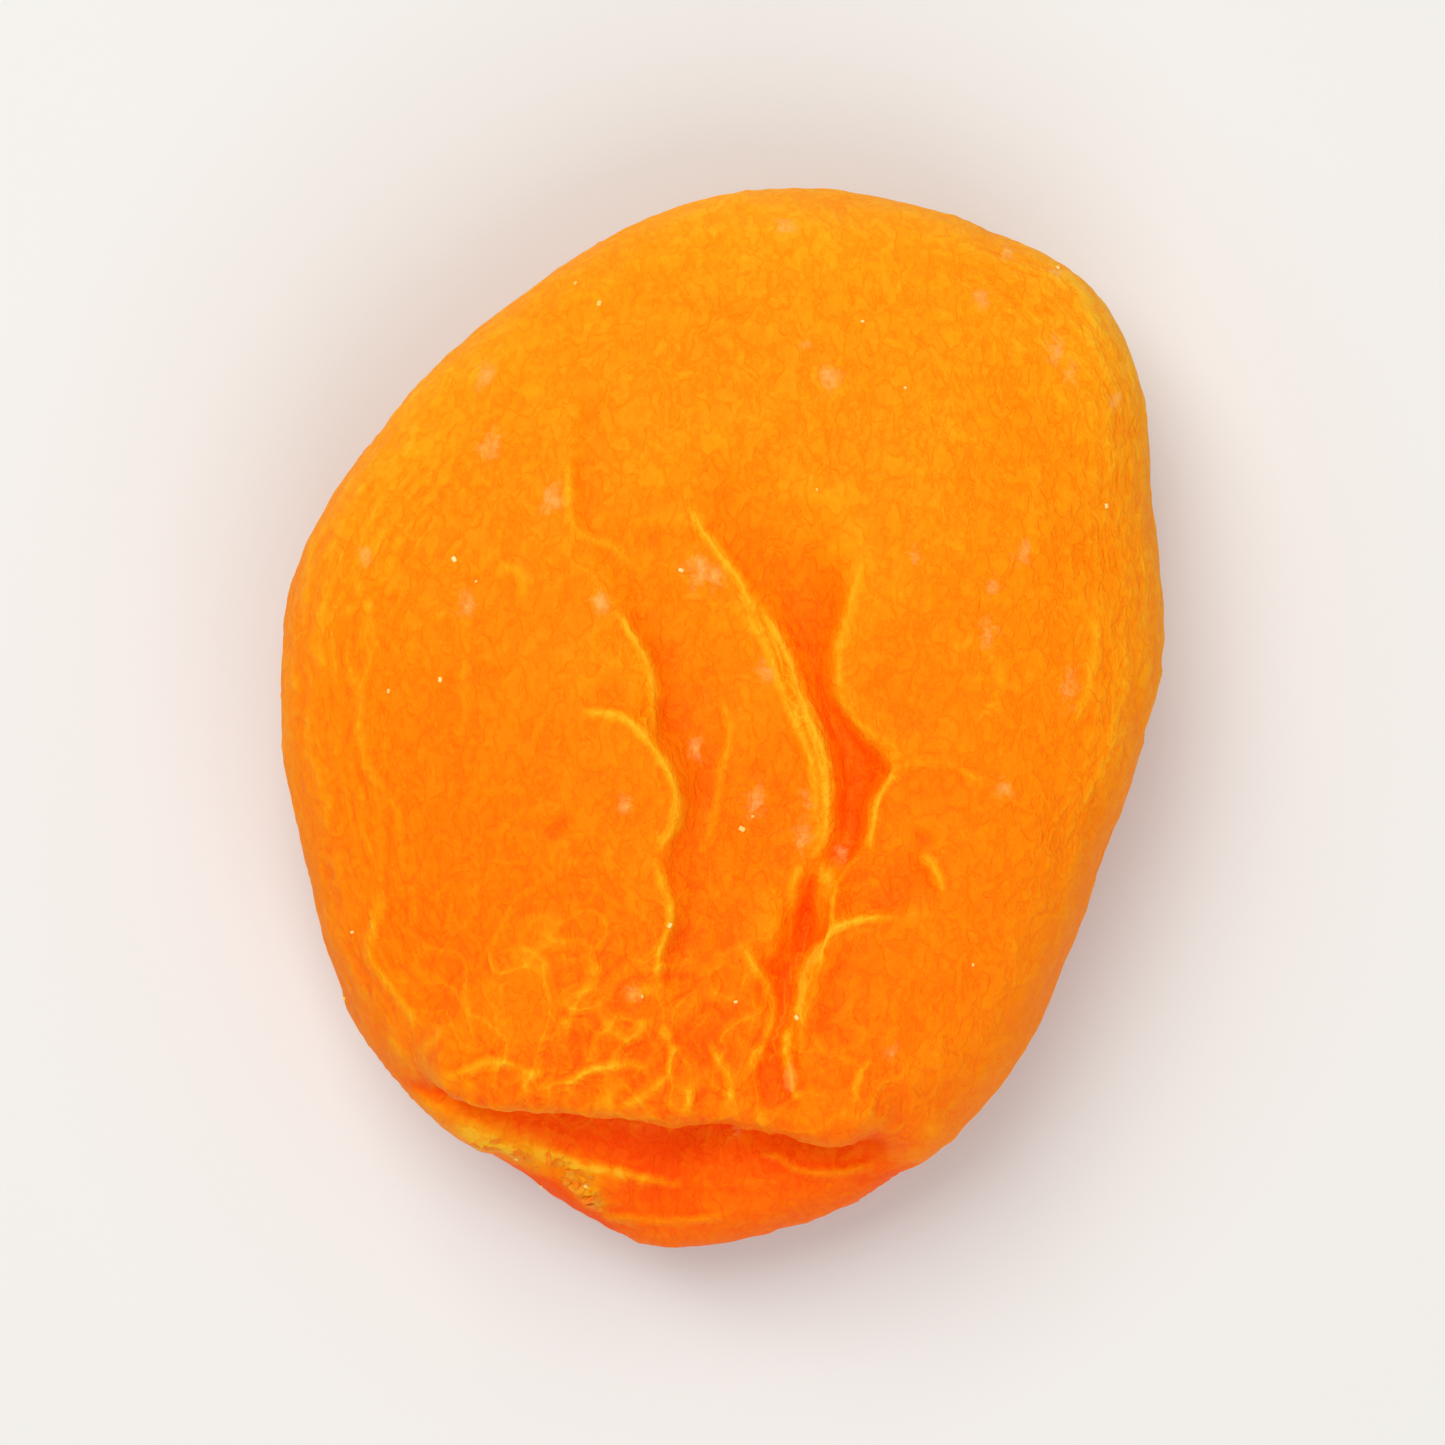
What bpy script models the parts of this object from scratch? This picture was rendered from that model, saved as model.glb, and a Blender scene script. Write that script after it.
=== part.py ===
"""A dried apricot: a whole fruit, pitted through one end and dried flat, as one solid.

It lies on its flatter side. X runs across it, Y from the pitting mouth to the closed end, and Z is up.
Sizes are in millimetres, and MM turns them into Blender's metres when the mesh is placed.
"""

import bmesh
import bpy
import numpy as np
from mathutils import Vector, noise

MM = 0.001

# Driving sizes
LENGTH = 40.0
RIM_HEIGHT = 5.6        # the widest level, above what the fruit lies on
TOP_RISE = 7.6          # from the widest level to the top
UNDER_FALL = 5.9        # from the widest level down to the underside
PLAN_POWER = 2.6        # above 2 the flanks stay flat longer before they turn down
HEIGHT_POWER = 2.2
SHEET_SHARE = 0.78      # share of the radius that the top and underside sheets cover
CUTS_ACROSS, CUTS_ALONG, CUTS_RIM = 41, 42, 12

# The outline from above, anticlockwise from the closed end, for a fruit of LENGTH
OUTLINE = [
    (4.5, 20.0), (0.3, 19.85), (-3.8, 18.6), (-9.65, 15.0), (-13.5, 11.0), (-16.1, 6.6),
    (-16.9, 2.0), (-16.3, -4.3), (-14.6, -10.1), (-11.6, -14.8), (-7.9, -17.1), (-2.7, -20.0),
    (2.1, -19.3), (8.0, -16.3), (11.8, -11.6), (14.75, -5.0), (16.9, 2.0), (16.4, 7.7),
    (15.7, 13.0), (13.5, 16.8), (9.8, 18.8),
]

# The pit hollow is a broad trough on top, and a lesser one lies beside it
TROUGHS = [
    ([(-1.5, 11.5), (1.0, 6.0), (3.6, 0.0), (3.9, -5.0), (2.4, -10.0), (1.4, -14.5)], 1.5, 3.9),
    ([(-4.6, 10.5), (-2.0, 4.5), (-0.2, -2.0), (0.2, -9.0)], 0.5, 2.4),
]

# Three fold edges run the length of the top. The mesh's columns follow them, so that they stay crisp
RIDGE = [(-5.8, 14.0), (-5.8, 10.9), (-5.4, 7.6), (-3.5, 4.0), (-2.65, 1.5), (-2.95, -0.1), (-1.9, -1.5),
         (-1.45, -3.2), (-2.3, -5.2), (-1.75, -7.0), (-2.4, -9.3), (-2.0, -11.0), (-2.6, -14.0)]
LEFT_BANK = [(-1.6, 14.0), (-1.2, 9.5), (-0.6, 6.9), (1.5, 4.1), (2.65, 1.4), (3.7, -0.9), (4.0, -3.0),
             (3.9, -4.3), (3.0, -5.8), (2.55, -7.2), (1.7, -8.8), (1.6, -9.9), (1.75, -10.8), (1.15, -12.6),
             (1.0, -15.0)]
RIGHT_BANK = [(0.8, 14.0), (2.9, 9.5), (4.3, 6.6), (4.35, 4.4), (3.95, 2.2), (4.35, 0.6), (5.85, -1.6),
              (5.2, -3.0), (5.0, -4.5), (3.95, -5.8), (3.6, -7.3), (3.1, -8.7), (2.8, -9.8), (2.45, -11.0),
              (2.4, -12.4), (2.9, -15.0)]
EDGE_COLUMNS = (-1 / 3, 1 / 21, 2 / 7)      # the grid columns that follow them, from -1 to 1

# How deep each stands over what it folds down to, as (Y, depth) from the mouth up
RIDGE_DROP = [(-13.5, 0.0), (-9.0, 0.35), (-4.0, 0.6), (1.5, 0.55), (4.2, 0.25), (7.6, 0.15), (11.0, 0.0)]
LEFT_DROP = [(-15.0, 0.0), (-12.6, 0.5), (-10.4, 0.65), (-8.6, 0.8), (-7.2, 1.0), (-5.2, 0.4), (-3.6, 0.9),
             (-0.9, 1.2), (1.4, 1.0), (4.1, 0.7), (6.9, 0.5), (10.5, 0.0)]
RIGHT_DROP = [(-15.0, 0.0), (-12.6, 0.5), (-10.4, 0.7), (-8.6, 0.85), (-7.2, 1.0), (-5.2, 0.4), (-3.5, 0.95),
              (-1.65, 1.2), (1.9, 1.0), (4.3, 0.65), (6.0, 0.4), (8.5, 0.0)]
FOLD_RUN = 0.4          # how far across an edge takes to turn down
BANK_RUN, BANK_SHARE = 0.28, 0.27           # the same at the banks, and their share of a narrow valley
CREST_SHARE, CREST_REACH = 0.3, 1.3         # the roll along each edge
RIDGE_REACH = 3.0       # how far the floor beside the ridge takes to come back up

# Lesser folds: (points, height, side that drops: 1 is the left of the way it runs)
TOP_FOLDS = [
    ([(-0.3, 2.6), (0.3, 0.4), (0.1, -1.8), (-0.6, -4.4)], 0.2, -1),
    ([(2.9, -9.4), (3.4, -8.1), (4.3, -7.4), (6.0, -7.0), (8.2, -6.7)], 0.3, 1),
    ([(-5.6, 0.6), (-3.9, 0.4), (-2.6, -0.6), (-1.9, -1.7)], 0.2, 1),
    ([(5.7, -1.65), (7.2, -1.2), (9.2, -1.6)], 0.15, -1),
    ([(-13.4, -7.2), (-12.2, -9.6), (-10.4, -11.4)], 0.3, 1),
    ([(7.0, -4.6), (7.6, -5.4), (8.2, -6.4)], 0.25, -1),
    ([(-5.9, 12.6), (-5.5, 10.0), (-5.6, 7.0)], 0.25, 1),
]
# On the underside the suture runs from end to end, with folds on either side
UNDER_FOLDS = [
    ([(-3.4, 10.6), (-5.6, 6.4), (-4.5, 1.6), (-5.9, -3.0), (-4.7, -7.0), (-7.2, -11.4)], 0.5, 1),
    ([(5.2, 12.0), (3.3, 8.2), (5.0, 3.6), (3.7, -1.4), (5.7, -5.0), (4.6, -9.8)], 0.45, -1),
    ([(-11.8, 3.6), (-9.5, -0.2), (-10.5, -4.4)], 0.35, 1),
    ([(11.0, -0.6), (9.0, -3.8), (10.1, -7.8)], 0.35, -1),
    ([(-0.6, 12.5), (1.6, 14.2), (4.6, 14.0)], 0.3, 1),
]
SUTURE = [(-1.2, 17.0), (0.4, 11.5), (-0.6, 5.5), (1.0, -0.5), (0.1, -6.0), (-1.6, -13.0)]
SUTURE_DEPTH, SUTURE_REACH = 0.75, 1.1
UNDER_FOLD_RUN = 1.1
UNDER_HOLLOW_DEPTH, UNDER_HOLLOW_REACH = 1.1, 7.5

# Soft creases round the rim: (middle and half width in degrees, height from -1 to 1, depth)
RIM_CREASES = [(20.0, 48.0, -0.25, 0.55), (128.0, 40.0, 0.05, 0.4), (190.0, 30.0, -0.35, 0.45),
               (-32.0, 22.0, 0.2, 0.35)]
RIM_CREASE_REACH = 0.28

# The mouth that the stone left by. Its upper lip runs straight, and below it the lower lip reaches out
LIP_SLOPE, LIP_LEVEL = -0.106, -15.12       # the upper lip's line, as Y = level + slope * X
MOUTH_START, MOUTH_END = -137.0, -63.0      # degrees round the outline
MOUTH_FADE = 13.0
MOUTH_BLEND = 0.24      # how far down the profile it takes to join the plain shape again
# Down the profile: (place, share of the way from the outline to the lip, how far behind it, height)
MOUTH_PROFILE = [
    (0.55, 1.0, 6.3, 12.4), (0.72, 1.0, 3.8, 11.9), (0.86, 1.0, 1.8, 11.1), (0.95, 1.0, 0.5, 10.6),
    (1.00, 1.0, 0.0, 9.9), (1.08, 1.0, 0.1, 8.6), (1.16, 1.0, 0.45, 7.6), (1.24, 0.98, 0.5, 6.9),
    (1.31, 0.88, 0.2, 6.7), (1.39, 0.68, 0.0, 7.0), (1.47, 0.45, 0.0, 6.8), (1.55, 0.22, 0.0, 6.2),
    (1.62, 0.07, 0.0, 5.3), (1.70, 0.0, 0.0, 4.2), (1.78, 0.05, 0.0, 3.1), (1.86, 0.20, 0.0, 2.1),
    (1.93, 0.45, 0.0, 1.4), (2.00, 0.78, 0.0, 0.8),
]
LIP_WAVES = [(0.10, 6.5, 1.0), (0.07, 3.1, 2.6)]    # how the upper lip wanders: (rise, pitch, start)
LOWER_LIP_WAVES = [(0.55, 11.0, 0.4), (0.25, 4.3, 2.0)]     # and how the lower lip rises and dips
PLEAT_RISE, PLEAT_PITCH = 0.10, 2.3         # the puckers in the skin above the mouth

# Drying leaves the whole surface gently uneven
SWELL_RISE, SWELL_PITCH = 0.42, 9.0
RIPPLE_RISE, RIPPLE_PITCH = 0.15, 3.2
WARP_RISE = 0.45        # how far the rim's level wanders round the fruit

# Three low places round the weight, pressed flat by what the fruit lies on
FEET = [(-7.4, 6.2), (7.4, 5.8), (0.4, -9.4)]
FOOT_DROP, FOOT_REACH, FOOT_PRESS = 0.9, 2.8, 0.45


def clear_scene():
    for old in list(bpy.data.objects):
        bpy.data.objects.remove(old)


def smooth_line(points, per_span=12, closed=False):
    """A Catmull-Rom curve through the points, as rows of coordinates."""
    p = np.array(points, float)
    if closed:
        p = np.vstack([p[-1], p, p[:2]])
    else:
        p = np.vstack([2 * p[0] - p[1], p, 2 * p[-1] - p[-2]])
    before, here, after, last = p[:-3], p[1:-2], p[2:-1], p[3:]
    t = np.linspace(0, 1, per_span, endpoint=False)[:, None, None]
    line = 0.5 * (
        2 * here
        + (after - before) * t
        + (2 * before - 5 * here + 4 * after - last) * t**2
        + (3 * here - before - 3 * after + last) * t**3
    )
    line = line.transpose(1, 0, 2).reshape(-1, p.shape[1])
    return line if closed else np.vstack([line, p[-2]])


def ease(t):
    """0 below 0, 1 above 1, and smooth between."""
    t = np.clip(t, 0, 1)
    return t * t * (3 - 2 * t)


def along(stations, at):
    """A smooth curve through (position, value, ...) stations, read at each position."""
    line = smooth_line(sorted(stations))
    return [np.interp(at, line[:, 0], line[:, k]) for k in range(1, line.shape[1])]


def edge_x(edge, y):
    """Where a fold edge that runs the length of the top crosses each Y."""
    return along([(b, a) for a, b in edge], y)[0]


def beside(stroke, x, y):
    """Each point's distance to a stroke, positive on its left, and how far along it the foot is."""
    line = smooth_line(stroke)
    gap = np.stack([x, y], 1)[:, None] - line[None]
    nearest = np.argmin((gap**2).sum(2), 1)
    off = gap[np.arange(len(x)), nearest]
    way = np.gradient(line, axis=0)[nearest]
    side = np.sign(way[:, 0] * off[:, 1] - way[:, 1] * off[:, 0])
    return side * np.hypot(off[:, 0], off[:, 1]), nearest / (len(line) - 1)


def trough(stroke, depth, reach, x, y):
    """A soft groove along a stroke, fading towards both ends."""
    gap, where = beside(stroke, x, y)
    return -depth * np.exp(-((gap / reach) ** 2)) * ease(3 * where) * ease(3 * (1 - where))


def fold(stroke, height, side, x, y, run=FOLD_RUN):
    """A roll on one side of a stroke and a drop on the other, as where dried skin laps over."""
    gap, where = beside(stroke, x, y)
    gap = side * gap
    down = ease(gap / run)
    roll = CREST_SHARE * np.exp(-((np.minimum(gap, 0) / CREST_REACH) ** 2)) * (1 - down)
    floor = down * np.exp(-((np.maximum(gap - run, 0) / CREST_REACH) ** 2))
    return height * (roll - floor) * ease(4 * where) * ease(4 * (1 - where))


def long_folds(x, y):
    """The valley between its two banks, and the ridge to its left that drops towards it."""
    ridge_gap = x - edge_x(RIDGE, y)
    left_gap = x - edge_x(LEFT_BANK, y)
    right_gap = edge_x(RIGHT_BANK, y) - x
    run = np.clip(BANK_SHARE * (left_gap + right_gap), 0.05, BANK_RUN)
    inside = ease(left_gap / run) * ease(right_gap / run)
    left_drop, right_drop = along(LEFT_DROP, y)[0], along(RIGHT_DROP, y)[0]
    share = np.clip(left_gap / np.maximum(left_gap + right_gap, 0.1), 0, 1)
    height = -inside * (left_drop * (1 - share) + right_drop * share)
    for gap, drop in ((left_gap, left_drop), (right_gap, right_drop)):
        height += CREST_SHARE * drop * np.exp(-((gap / CREST_REACH) ** 2)) * (gap < BANK_RUN) * (1 - inside)
    ridge_drop = along(RIDGE_DROP, y)[0]
    down = ease(ridge_gap / FOLD_RUN)
    height += ridge_drop * CREST_SHARE * np.exp(-((ridge_gap / CREST_REACH) ** 2)) * (1 - down)
    height -= ridge_drop * down * np.exp(-((np.maximum(ridge_gap, 0) / RIDGE_REACH) ** 2))
    return height


def bumps(points, pitch, seed):
    """Smooth noise from -1 to 1 at each point, the same on every run."""
    shift = Vector((seed, 2 * seed, 3 * seed))
    return np.array([noise.noise(Vector(p) / pitch + shift) for p in points])


def box_grid():
    """A cube's surface cut into a grid: two sheets and a rim between them."""
    shell = bmesh.new()
    bmesh.ops.create_cube(shell, size=2)
    for axis, cuts in enumerate((CUTS_ACROSS, CUTS_ALONG, CUTS_RIM)):
        edges = [e for e in shell.edges if abs((e.verts[0].co - e.verts[1].co)[axis]) > 1e-6]
        bmesh.ops.subdivide_edges(shell, edges=edges, cuts=cuts, use_grid_fill=True)
    return shell


def outline_radius(angle):
    line = smooth_line(OUTLINE, closed=True)
    line *= LENGTH / np.ptp(line[:, 1])
    around = np.arctan2(line[:, 1], line[:, 0])
    order = np.argsort(around)
    return np.interp(angle, around[order], np.hypot(line[:, 0], line[:, 1])[order], period=2 * np.pi)


def plain_profile(place):
    """The share of the radius and the height from -1 to 1, from the top's middle (0) to the underside's (3)."""
    turn = np.arcsin(SHEET_SHARE ** (PLAN_POWER / 2))
    swing = turn + (np.pi - 2 * turn) * np.clip(place - 1, 0, 1)
    share = np.sin(swing) ** (2 / PLAN_POWER)
    share = np.where(place < 1, place * SHEET_SHARE, np.where(place > 2, (3 - place) * SHEET_SHARE, share))
    level = (1 - np.minimum(share, 1) ** PLAN_POWER) ** (1 / HEIGHT_POWER)
    return share, np.where(swing < np.pi / 2, level, -level)


def follow_edges(x, y, across, spread):
    """Slides the top's grid columns sideways so that three of them run along the fold edges."""
    half_width = SHEET_SHARE * outline_radius(np.zeros(1))[0]
    row = np.clip(y / (SHEET_SHARE * LENGTH / 2), -1, 1)
    shifts = []
    for edge, column in zip((RIDGE, LEFT_BANK, RIGHT_BANK), EDGE_COLUMNS):
        shifts.append(edge_x(edge, y) - half_width * column * np.sqrt(1 - row**2 / 2))
    stops = (-1.0, *EDGE_COLUMNS, 1.0)
    slide = np.zeros(len(x))
    for k in range(4):
        here = (across >= stops[k]) & (across <= stops[k + 1])
        part = (across - stops[k]) / (stops[k + 1] - stops[k])
        before = shifts[k - 1] if k > 0 else 0.0
        after = shifts[k] if k < 3 else 0.0
        slide = np.where(here, before + (after - before) * part, slide)
    return x + slide * ease(2.5 * (1 - spread))


def waves(parts, at):
    return sum(rise * np.sin(2 * np.pi * at / pitch + start) for rise, pitch, start in parts)


def mouth_shape(angle, place, radius):
    """How strongly the mouth shapes each point, how far in from the outline it puts it, and its height."""
    degrees = np.degrees(angle)
    strength = ease((degrees - MOUTH_START) / MOUTH_FADE) * ease((MOUTH_END - degrees) / MOUTH_FADE)
    strength = strength * ease((place - MOUTH_PROFILE[0][0]) / MOUTH_BLEND)
    strength = strength * ease((MOUTH_PROFILE[-1][0] - place) / MOUTH_BLEND)
    facing = np.minimum(np.sin(angle) - LIP_SLOPE * np.cos(angle), -0.5)
    lip_x = LIP_LEVEL / facing * np.cos(angle)
    to_lip = np.maximum(radius - LIP_LEVEL / facing + waves(LIP_WAVES, lip_x), 0)
    share, behind, height = along(MOUTH_PROFILE, place)
    height += waves(LOWER_LIP_WAVES, lip_x) * ease((place - 1.2) / 0.15) * ease((1.9 - place) / 0.3)
    return strength, share * to_lip + behind, height


def flesh_points(grid):
    """Where each corner of the box grid lies on the fruit, in millimetres."""
    px = grid[:, 0] * np.sqrt(1 - grid[:, 1] ** 2 / 2)
    py = grid[:, 1] * np.sqrt(1 - grid[:, 0] ** 2 / 2)
    angle, spread = np.arctan2(py, px), np.minimum(np.hypot(px, py), 1)
    on_top, on_under = grid[:, 2] > 0.999, grid[:, 2] < -0.999
    place = np.where(on_top, spread, np.where(on_under, 3 - spread, 1.5 - grid[:, 2] / 2))
    radius = outline_radius(angle)
    share, level = plain_profile(place)
    x, y = radius * share * np.cos(angle), radius * share * np.sin(angle)
    inner = on_top & (spread < 0.999)
    x = np.where(inner, follow_edges(x, y, grid[:, 0], spread), x)

    angle = np.where(share > 0.01, np.arctan2(y, x), angle)
    radius = outline_radius(angle)
    share = np.hypot(x, y) / radius
    level = np.where(inner, (1 - np.minimum(share, 1) ** PLAN_POWER) ** (1 / HEIGHT_POWER), level)
    place = np.where(inner, np.minimum(share / SHEET_SHARE, 1), place)
    set_back = radius * (1 - share)
    for middle, half_width, where, depth in RIM_CREASES:
        turned = (np.degrees(angle) - middle + 180) % 360 - 180
        window = ease(1.6 * (1 - np.abs(turned) / half_width))
        set_back += depth * window * np.exp(-(((level - where) / RIM_CREASE_REACH) ** 2))
    height = RIM_HEIGHT + np.where(level > 0, TOP_RISE, UNDER_FALL) * level

    mouth, mouth_back, mouth_height = mouth_shape(angle, place, radius)
    set_back = set_back + mouth * (mouth_back - set_back)
    height = height + mouth * (mouth_height - height)
    x, y = (radius - set_back) * np.cos(angle), (radius - set_back) * np.sin(angle)

    upper = ease((level - 0.15) / 0.5) * (place < 1.04)
    top = sum(trough(*stroke, x, y) for stroke in TROUGHS)
    top += long_folds(x, y)
    top += sum(fold(*stroke, x, y) for stroke in TOP_FOLDS)
    lip = np.exp(-(((place - 0.95) / 0.13) ** 2)) * mouth
    top += PLEAT_RISE * lip * np.sin(2 * np.pi * x / PLEAT_PITCH + 0.8 * np.sin(0.9 * x))
    height = height + upper * top

    under = ease((-level - 0.35) / 0.5)
    bottom = -sum(fold(*stroke, x, y, UNDER_FOLD_RUN) for stroke in UNDER_FOLDS)
    bottom -= trough(SUTURE, SUTURE_DEPTH, SUTURE_REACH, x, y)
    bottom += UNDER_HOLLOW_DEPTH * np.exp(-(x**2 + y**2) / UNDER_HOLLOW_REACH**2)
    for foot_x, foot_y in FEET:
        bottom -= FOOT_DROP * np.exp(-((x - foot_x) ** 2 + (y - foot_y) ** 2) / FOOT_REACH**2)
    height = height + under * bottom

    around = np.sin(angle + 0.6) + 0.6 * np.sin(2 * angle + 2.1)
    height += WARP_RISE * around * np.minimum(share, 1) ** 4 * (1 - mouth) * (level > -0.9)
    return np.stack([x, y, height], 1)


def roughen(shell):
    """Pushes the surface in and out along its normals by two sizes of smooth noise."""
    shell.normal_update()
    points = np.array([v.co for v in shell.verts])
    normals = np.array([v.normal for v in shell.verts])
    push = SWELL_RISE * bumps(points, SWELL_PITCH, 3.7) + RIPPLE_RISE * bumps(points, RIPPLE_PITCH, 8.1)
    return points + normals * push[:, None]


def settle(points):
    """Presses the low places flat, and centres the fruit over the origin at its full length."""
    middle = (points[:, :2].min(0) + points[:, :2].max(0)) / 2
    points[:, :2] = (points[:, :2] - middle) * LENGTH / np.ptp(points[:, 1])
    lowest = []
    for foot_x, foot_y in FEET:
        near = np.hypot(points[:, 0] - foot_x, points[:, 1] - foot_y) < FOOT_REACH
        lowest.append(points[near, 2].min())
    points[:, 2] -= max(lowest) + FOOT_PRESS
    points[:, 2] = np.maximum(points[:, 2], 0)
    return points


def place_corners(shell, points):
    for corner, point in zip(shell.verts, points):
        corner.co = point


def flesh_material():
    material = bpy.data.materials.new("dried_flesh")
    material.use_nodes = True
    shader = material.node_tree.nodes["Principled BSDF"]
    shader.inputs["Base Color"].default_value = (0.93, 0.26, 0.012, 1)
    shader.inputs["Roughness"].default_value = 0.5
    shader.inputs["Metallic"].default_value = 0.0
    return material


def make_apricot():
    shell = box_grid()
    grid = np.array([v.co for v in shell.verts])
    place_corners(shell, flesh_points(grid))
    place_corners(shell, settle(roughen(shell)) * MM)
    bmesh.ops.recalc_face_normals(shell, faces=shell.faces)
    bmesh.ops.triangulate(shell, faces=shell.faces)
    mesh = bpy.data.meshes.new("dried_apricot")
    shell.to_mesh(mesh)
    shell.free()
    mesh.shade_smooth()
    mesh.materials.append(flesh_material())
    apricot = bpy.data.objects.new("dried_apricot", mesh)
    bpy.context.scene.collection.objects.link(apricot)
    return apricot


clear_scene()
make_apricot()
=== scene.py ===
# %% [markdown]
# # A dried apricot, dressed from its plain solid
# A whole apricot that was pitted through its stem end and dried flat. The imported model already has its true
# size, its outline, its sunken top with the long folds, and the mouth that the stone left by. This lesson gives
# it the skin: thin rolled crests, wrinkles, waxy translucent flesh and a few grains of sugar.
#
# The first step loads that model. It could be rebuilt here from numbers, but then two shapes would have to
# agree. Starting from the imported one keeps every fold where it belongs.

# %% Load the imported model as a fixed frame
import math

import bpy
import numpy as np
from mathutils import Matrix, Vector, noise


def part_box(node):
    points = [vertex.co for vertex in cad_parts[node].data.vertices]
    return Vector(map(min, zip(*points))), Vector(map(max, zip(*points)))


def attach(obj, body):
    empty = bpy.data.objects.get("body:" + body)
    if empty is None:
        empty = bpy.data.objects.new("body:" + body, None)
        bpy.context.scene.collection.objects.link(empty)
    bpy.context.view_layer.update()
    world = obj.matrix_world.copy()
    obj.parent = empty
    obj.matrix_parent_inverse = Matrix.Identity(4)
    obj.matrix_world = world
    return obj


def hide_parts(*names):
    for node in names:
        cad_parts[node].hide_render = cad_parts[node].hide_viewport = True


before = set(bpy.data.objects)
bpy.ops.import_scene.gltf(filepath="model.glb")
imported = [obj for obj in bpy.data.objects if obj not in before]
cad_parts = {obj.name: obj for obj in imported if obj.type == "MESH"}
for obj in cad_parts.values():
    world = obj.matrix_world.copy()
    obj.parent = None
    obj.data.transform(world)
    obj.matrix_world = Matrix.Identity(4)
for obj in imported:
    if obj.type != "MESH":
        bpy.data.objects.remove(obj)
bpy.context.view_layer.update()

MM = 0.001
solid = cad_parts["dried_apricot"]
low, high = (np.array(corner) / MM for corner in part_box("dried_apricot"))
print("the solid is", np.round(high - low, 1), "mm")

# %% [markdown]
# ## A few tools of the trade
# Operators work on what is selected, and the loaded solid arrives selected, so each step first picks only its
# own piece. The other helpers read and write a mesh's corners in millimetres, make smooth noise, and draw a
# smooth line through a few points, which is how every crest is placed.

# %% Helpers for picking and shaping
def pick(piece):
    bpy.ops.object.select_all(action="DESELECT")
    piece.select_set(True)
    bpy.context.view_layer.objects.active = piece


def corners_of(piece):
    flat = np.empty(len(piece.data.vertices) * 3)
    piece.data.vertices.foreach_get("co", flat)
    return flat.reshape(-1, 3) / MM


def move_corners(piece, points):
    """Moves the corners to the points, and keeps them inside the solid's box."""
    piece.data.vertices.foreach_set("co", (np.clip(points, low, high) * MM).ravel())
    piece.data.update()


def facing_of(piece):
    flat = np.empty(len(piece.data.vertices) * 3)
    piece.data.vertex_normals.foreach_get("vector", flat)
    return flat.reshape(-1, 3)


def ease(t):
    """0 up to 0, 1 from 1 on, and a smooth step between."""
    t = np.clip(t, 0, 1)
    return t * t * (3 - 2 * t)


def smooth_line(points, per_span=10):
    """A curve through all the points, as many short steps."""
    p = np.array(points, float)
    p = np.vstack([2 * p[0] - p[1], p, 2 * p[-1] - p[-2]])
    before, here, after, last = p[:-3], p[1:-2], p[2:-1], p[3:]
    t = np.linspace(0, 1, per_span, endpoint=False)[:, None, None]
    line = 0.5 * (
        2 * here
        + (after - before) * t
        + (2 * before - 5 * here + 4 * after - last) * t**2
        + (3 * here - before - 3 * after + last) * t**3
    )
    return np.vstack([line.transpose(1, 0, 2).reshape(-1, p.shape[1]), p[-2]])


def soft_noise(points, pitch, seed):
    """Smooth noise, about -1 to 1, with lumps pitch mm apart (one number, or one for each axis)."""
    shift = Vector((seed, 2.3 * seed, 3.1 * seed))
    return np.array([noise.noise(Vector(p) + shift) for p in points / np.array(pitch)])


print("helpers ready")

# %% [markdown]
# ## The camera
# The photo looks straight down on the fruit, with the pitting mouth at the bottom of the picture. A long lens
# keeps the rim from spreading, as it does there. The fruit fills most of the frame, so that its skin can be
# read.

# %% Set the camera straight above
LENS = 120.0
SENSOR = 36.0
FRAME_WIDTH = 54.0      # mm of the table that the frame takes in
WIDEST_LEVEL = 6.0      # mm above the table

camera_data = bpy.data.cameras.new("camera")
camera_data.lens = LENS
camera_data.sensor_width = SENSOR
camera_data.clip_start = 0.01
camera = bpy.data.objects.new("camera", camera_data)
bpy.context.scene.collection.objects.link(camera)
camera.location = (0, 0, (WIDEST_LEVEL + FRAME_WIDTH * LENS / SENSOR) * MM)
bpy.context.scene.camera = camera
print("the camera is", round(camera.location.z / MM), "mm above the table")

# %% [markdown]
# ## Soft light and a pale table
# The photo's light is broad and comes from above and to the upper left: crests are bright on that side, and
# the fold walls that face away turn red. A big softbox does that, a second one fills the other side, and a
# pale sky lifts the rest. The Standard view keeps a strong orange as strong as it is.

# %% Make the table
TABLE_WIDTH = 3.0       # m
TABLE_GAP = 0.00001     # m below the fruit, so that the two never share a face
TABLE_COLOUR = (0.74, 0.73, 0.71, 1)

bpy.ops.mesh.primitive_plane_add(size=TABLE_WIDTH, location=(0, 0, -TABLE_GAP))
table = bpy.context.object
table.name = "table"
table_paint = bpy.data.materials.new("pale_table")
table_paint.use_nodes = True
table_shader = table_paint.node_tree.nodes["Principled BSDF"]
table_shader.inputs["Base Color"].default_value = TABLE_COLOUR
table_shader.inputs["Roughness"].default_value = 0.7
table_shader.inputs["Specular IOR Level"].default_value = 0.2
table.data.materials.append(table_paint)
print("table made")

# %% Hang the softboxes
SOFTBOXES = {           # place in m, width in m, watts, colour
    "key_softbox": ((-0.12, 0.22, 0.41), 0.34, 1.54, (1.0, 0.985, 0.95)),
    "fill_softbox": ((0.10, -0.30, 0.34), 0.40, 0.85, (0.98, 0.99, 1.0)),
}
SKY_STRENGTH = 0.48


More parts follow.
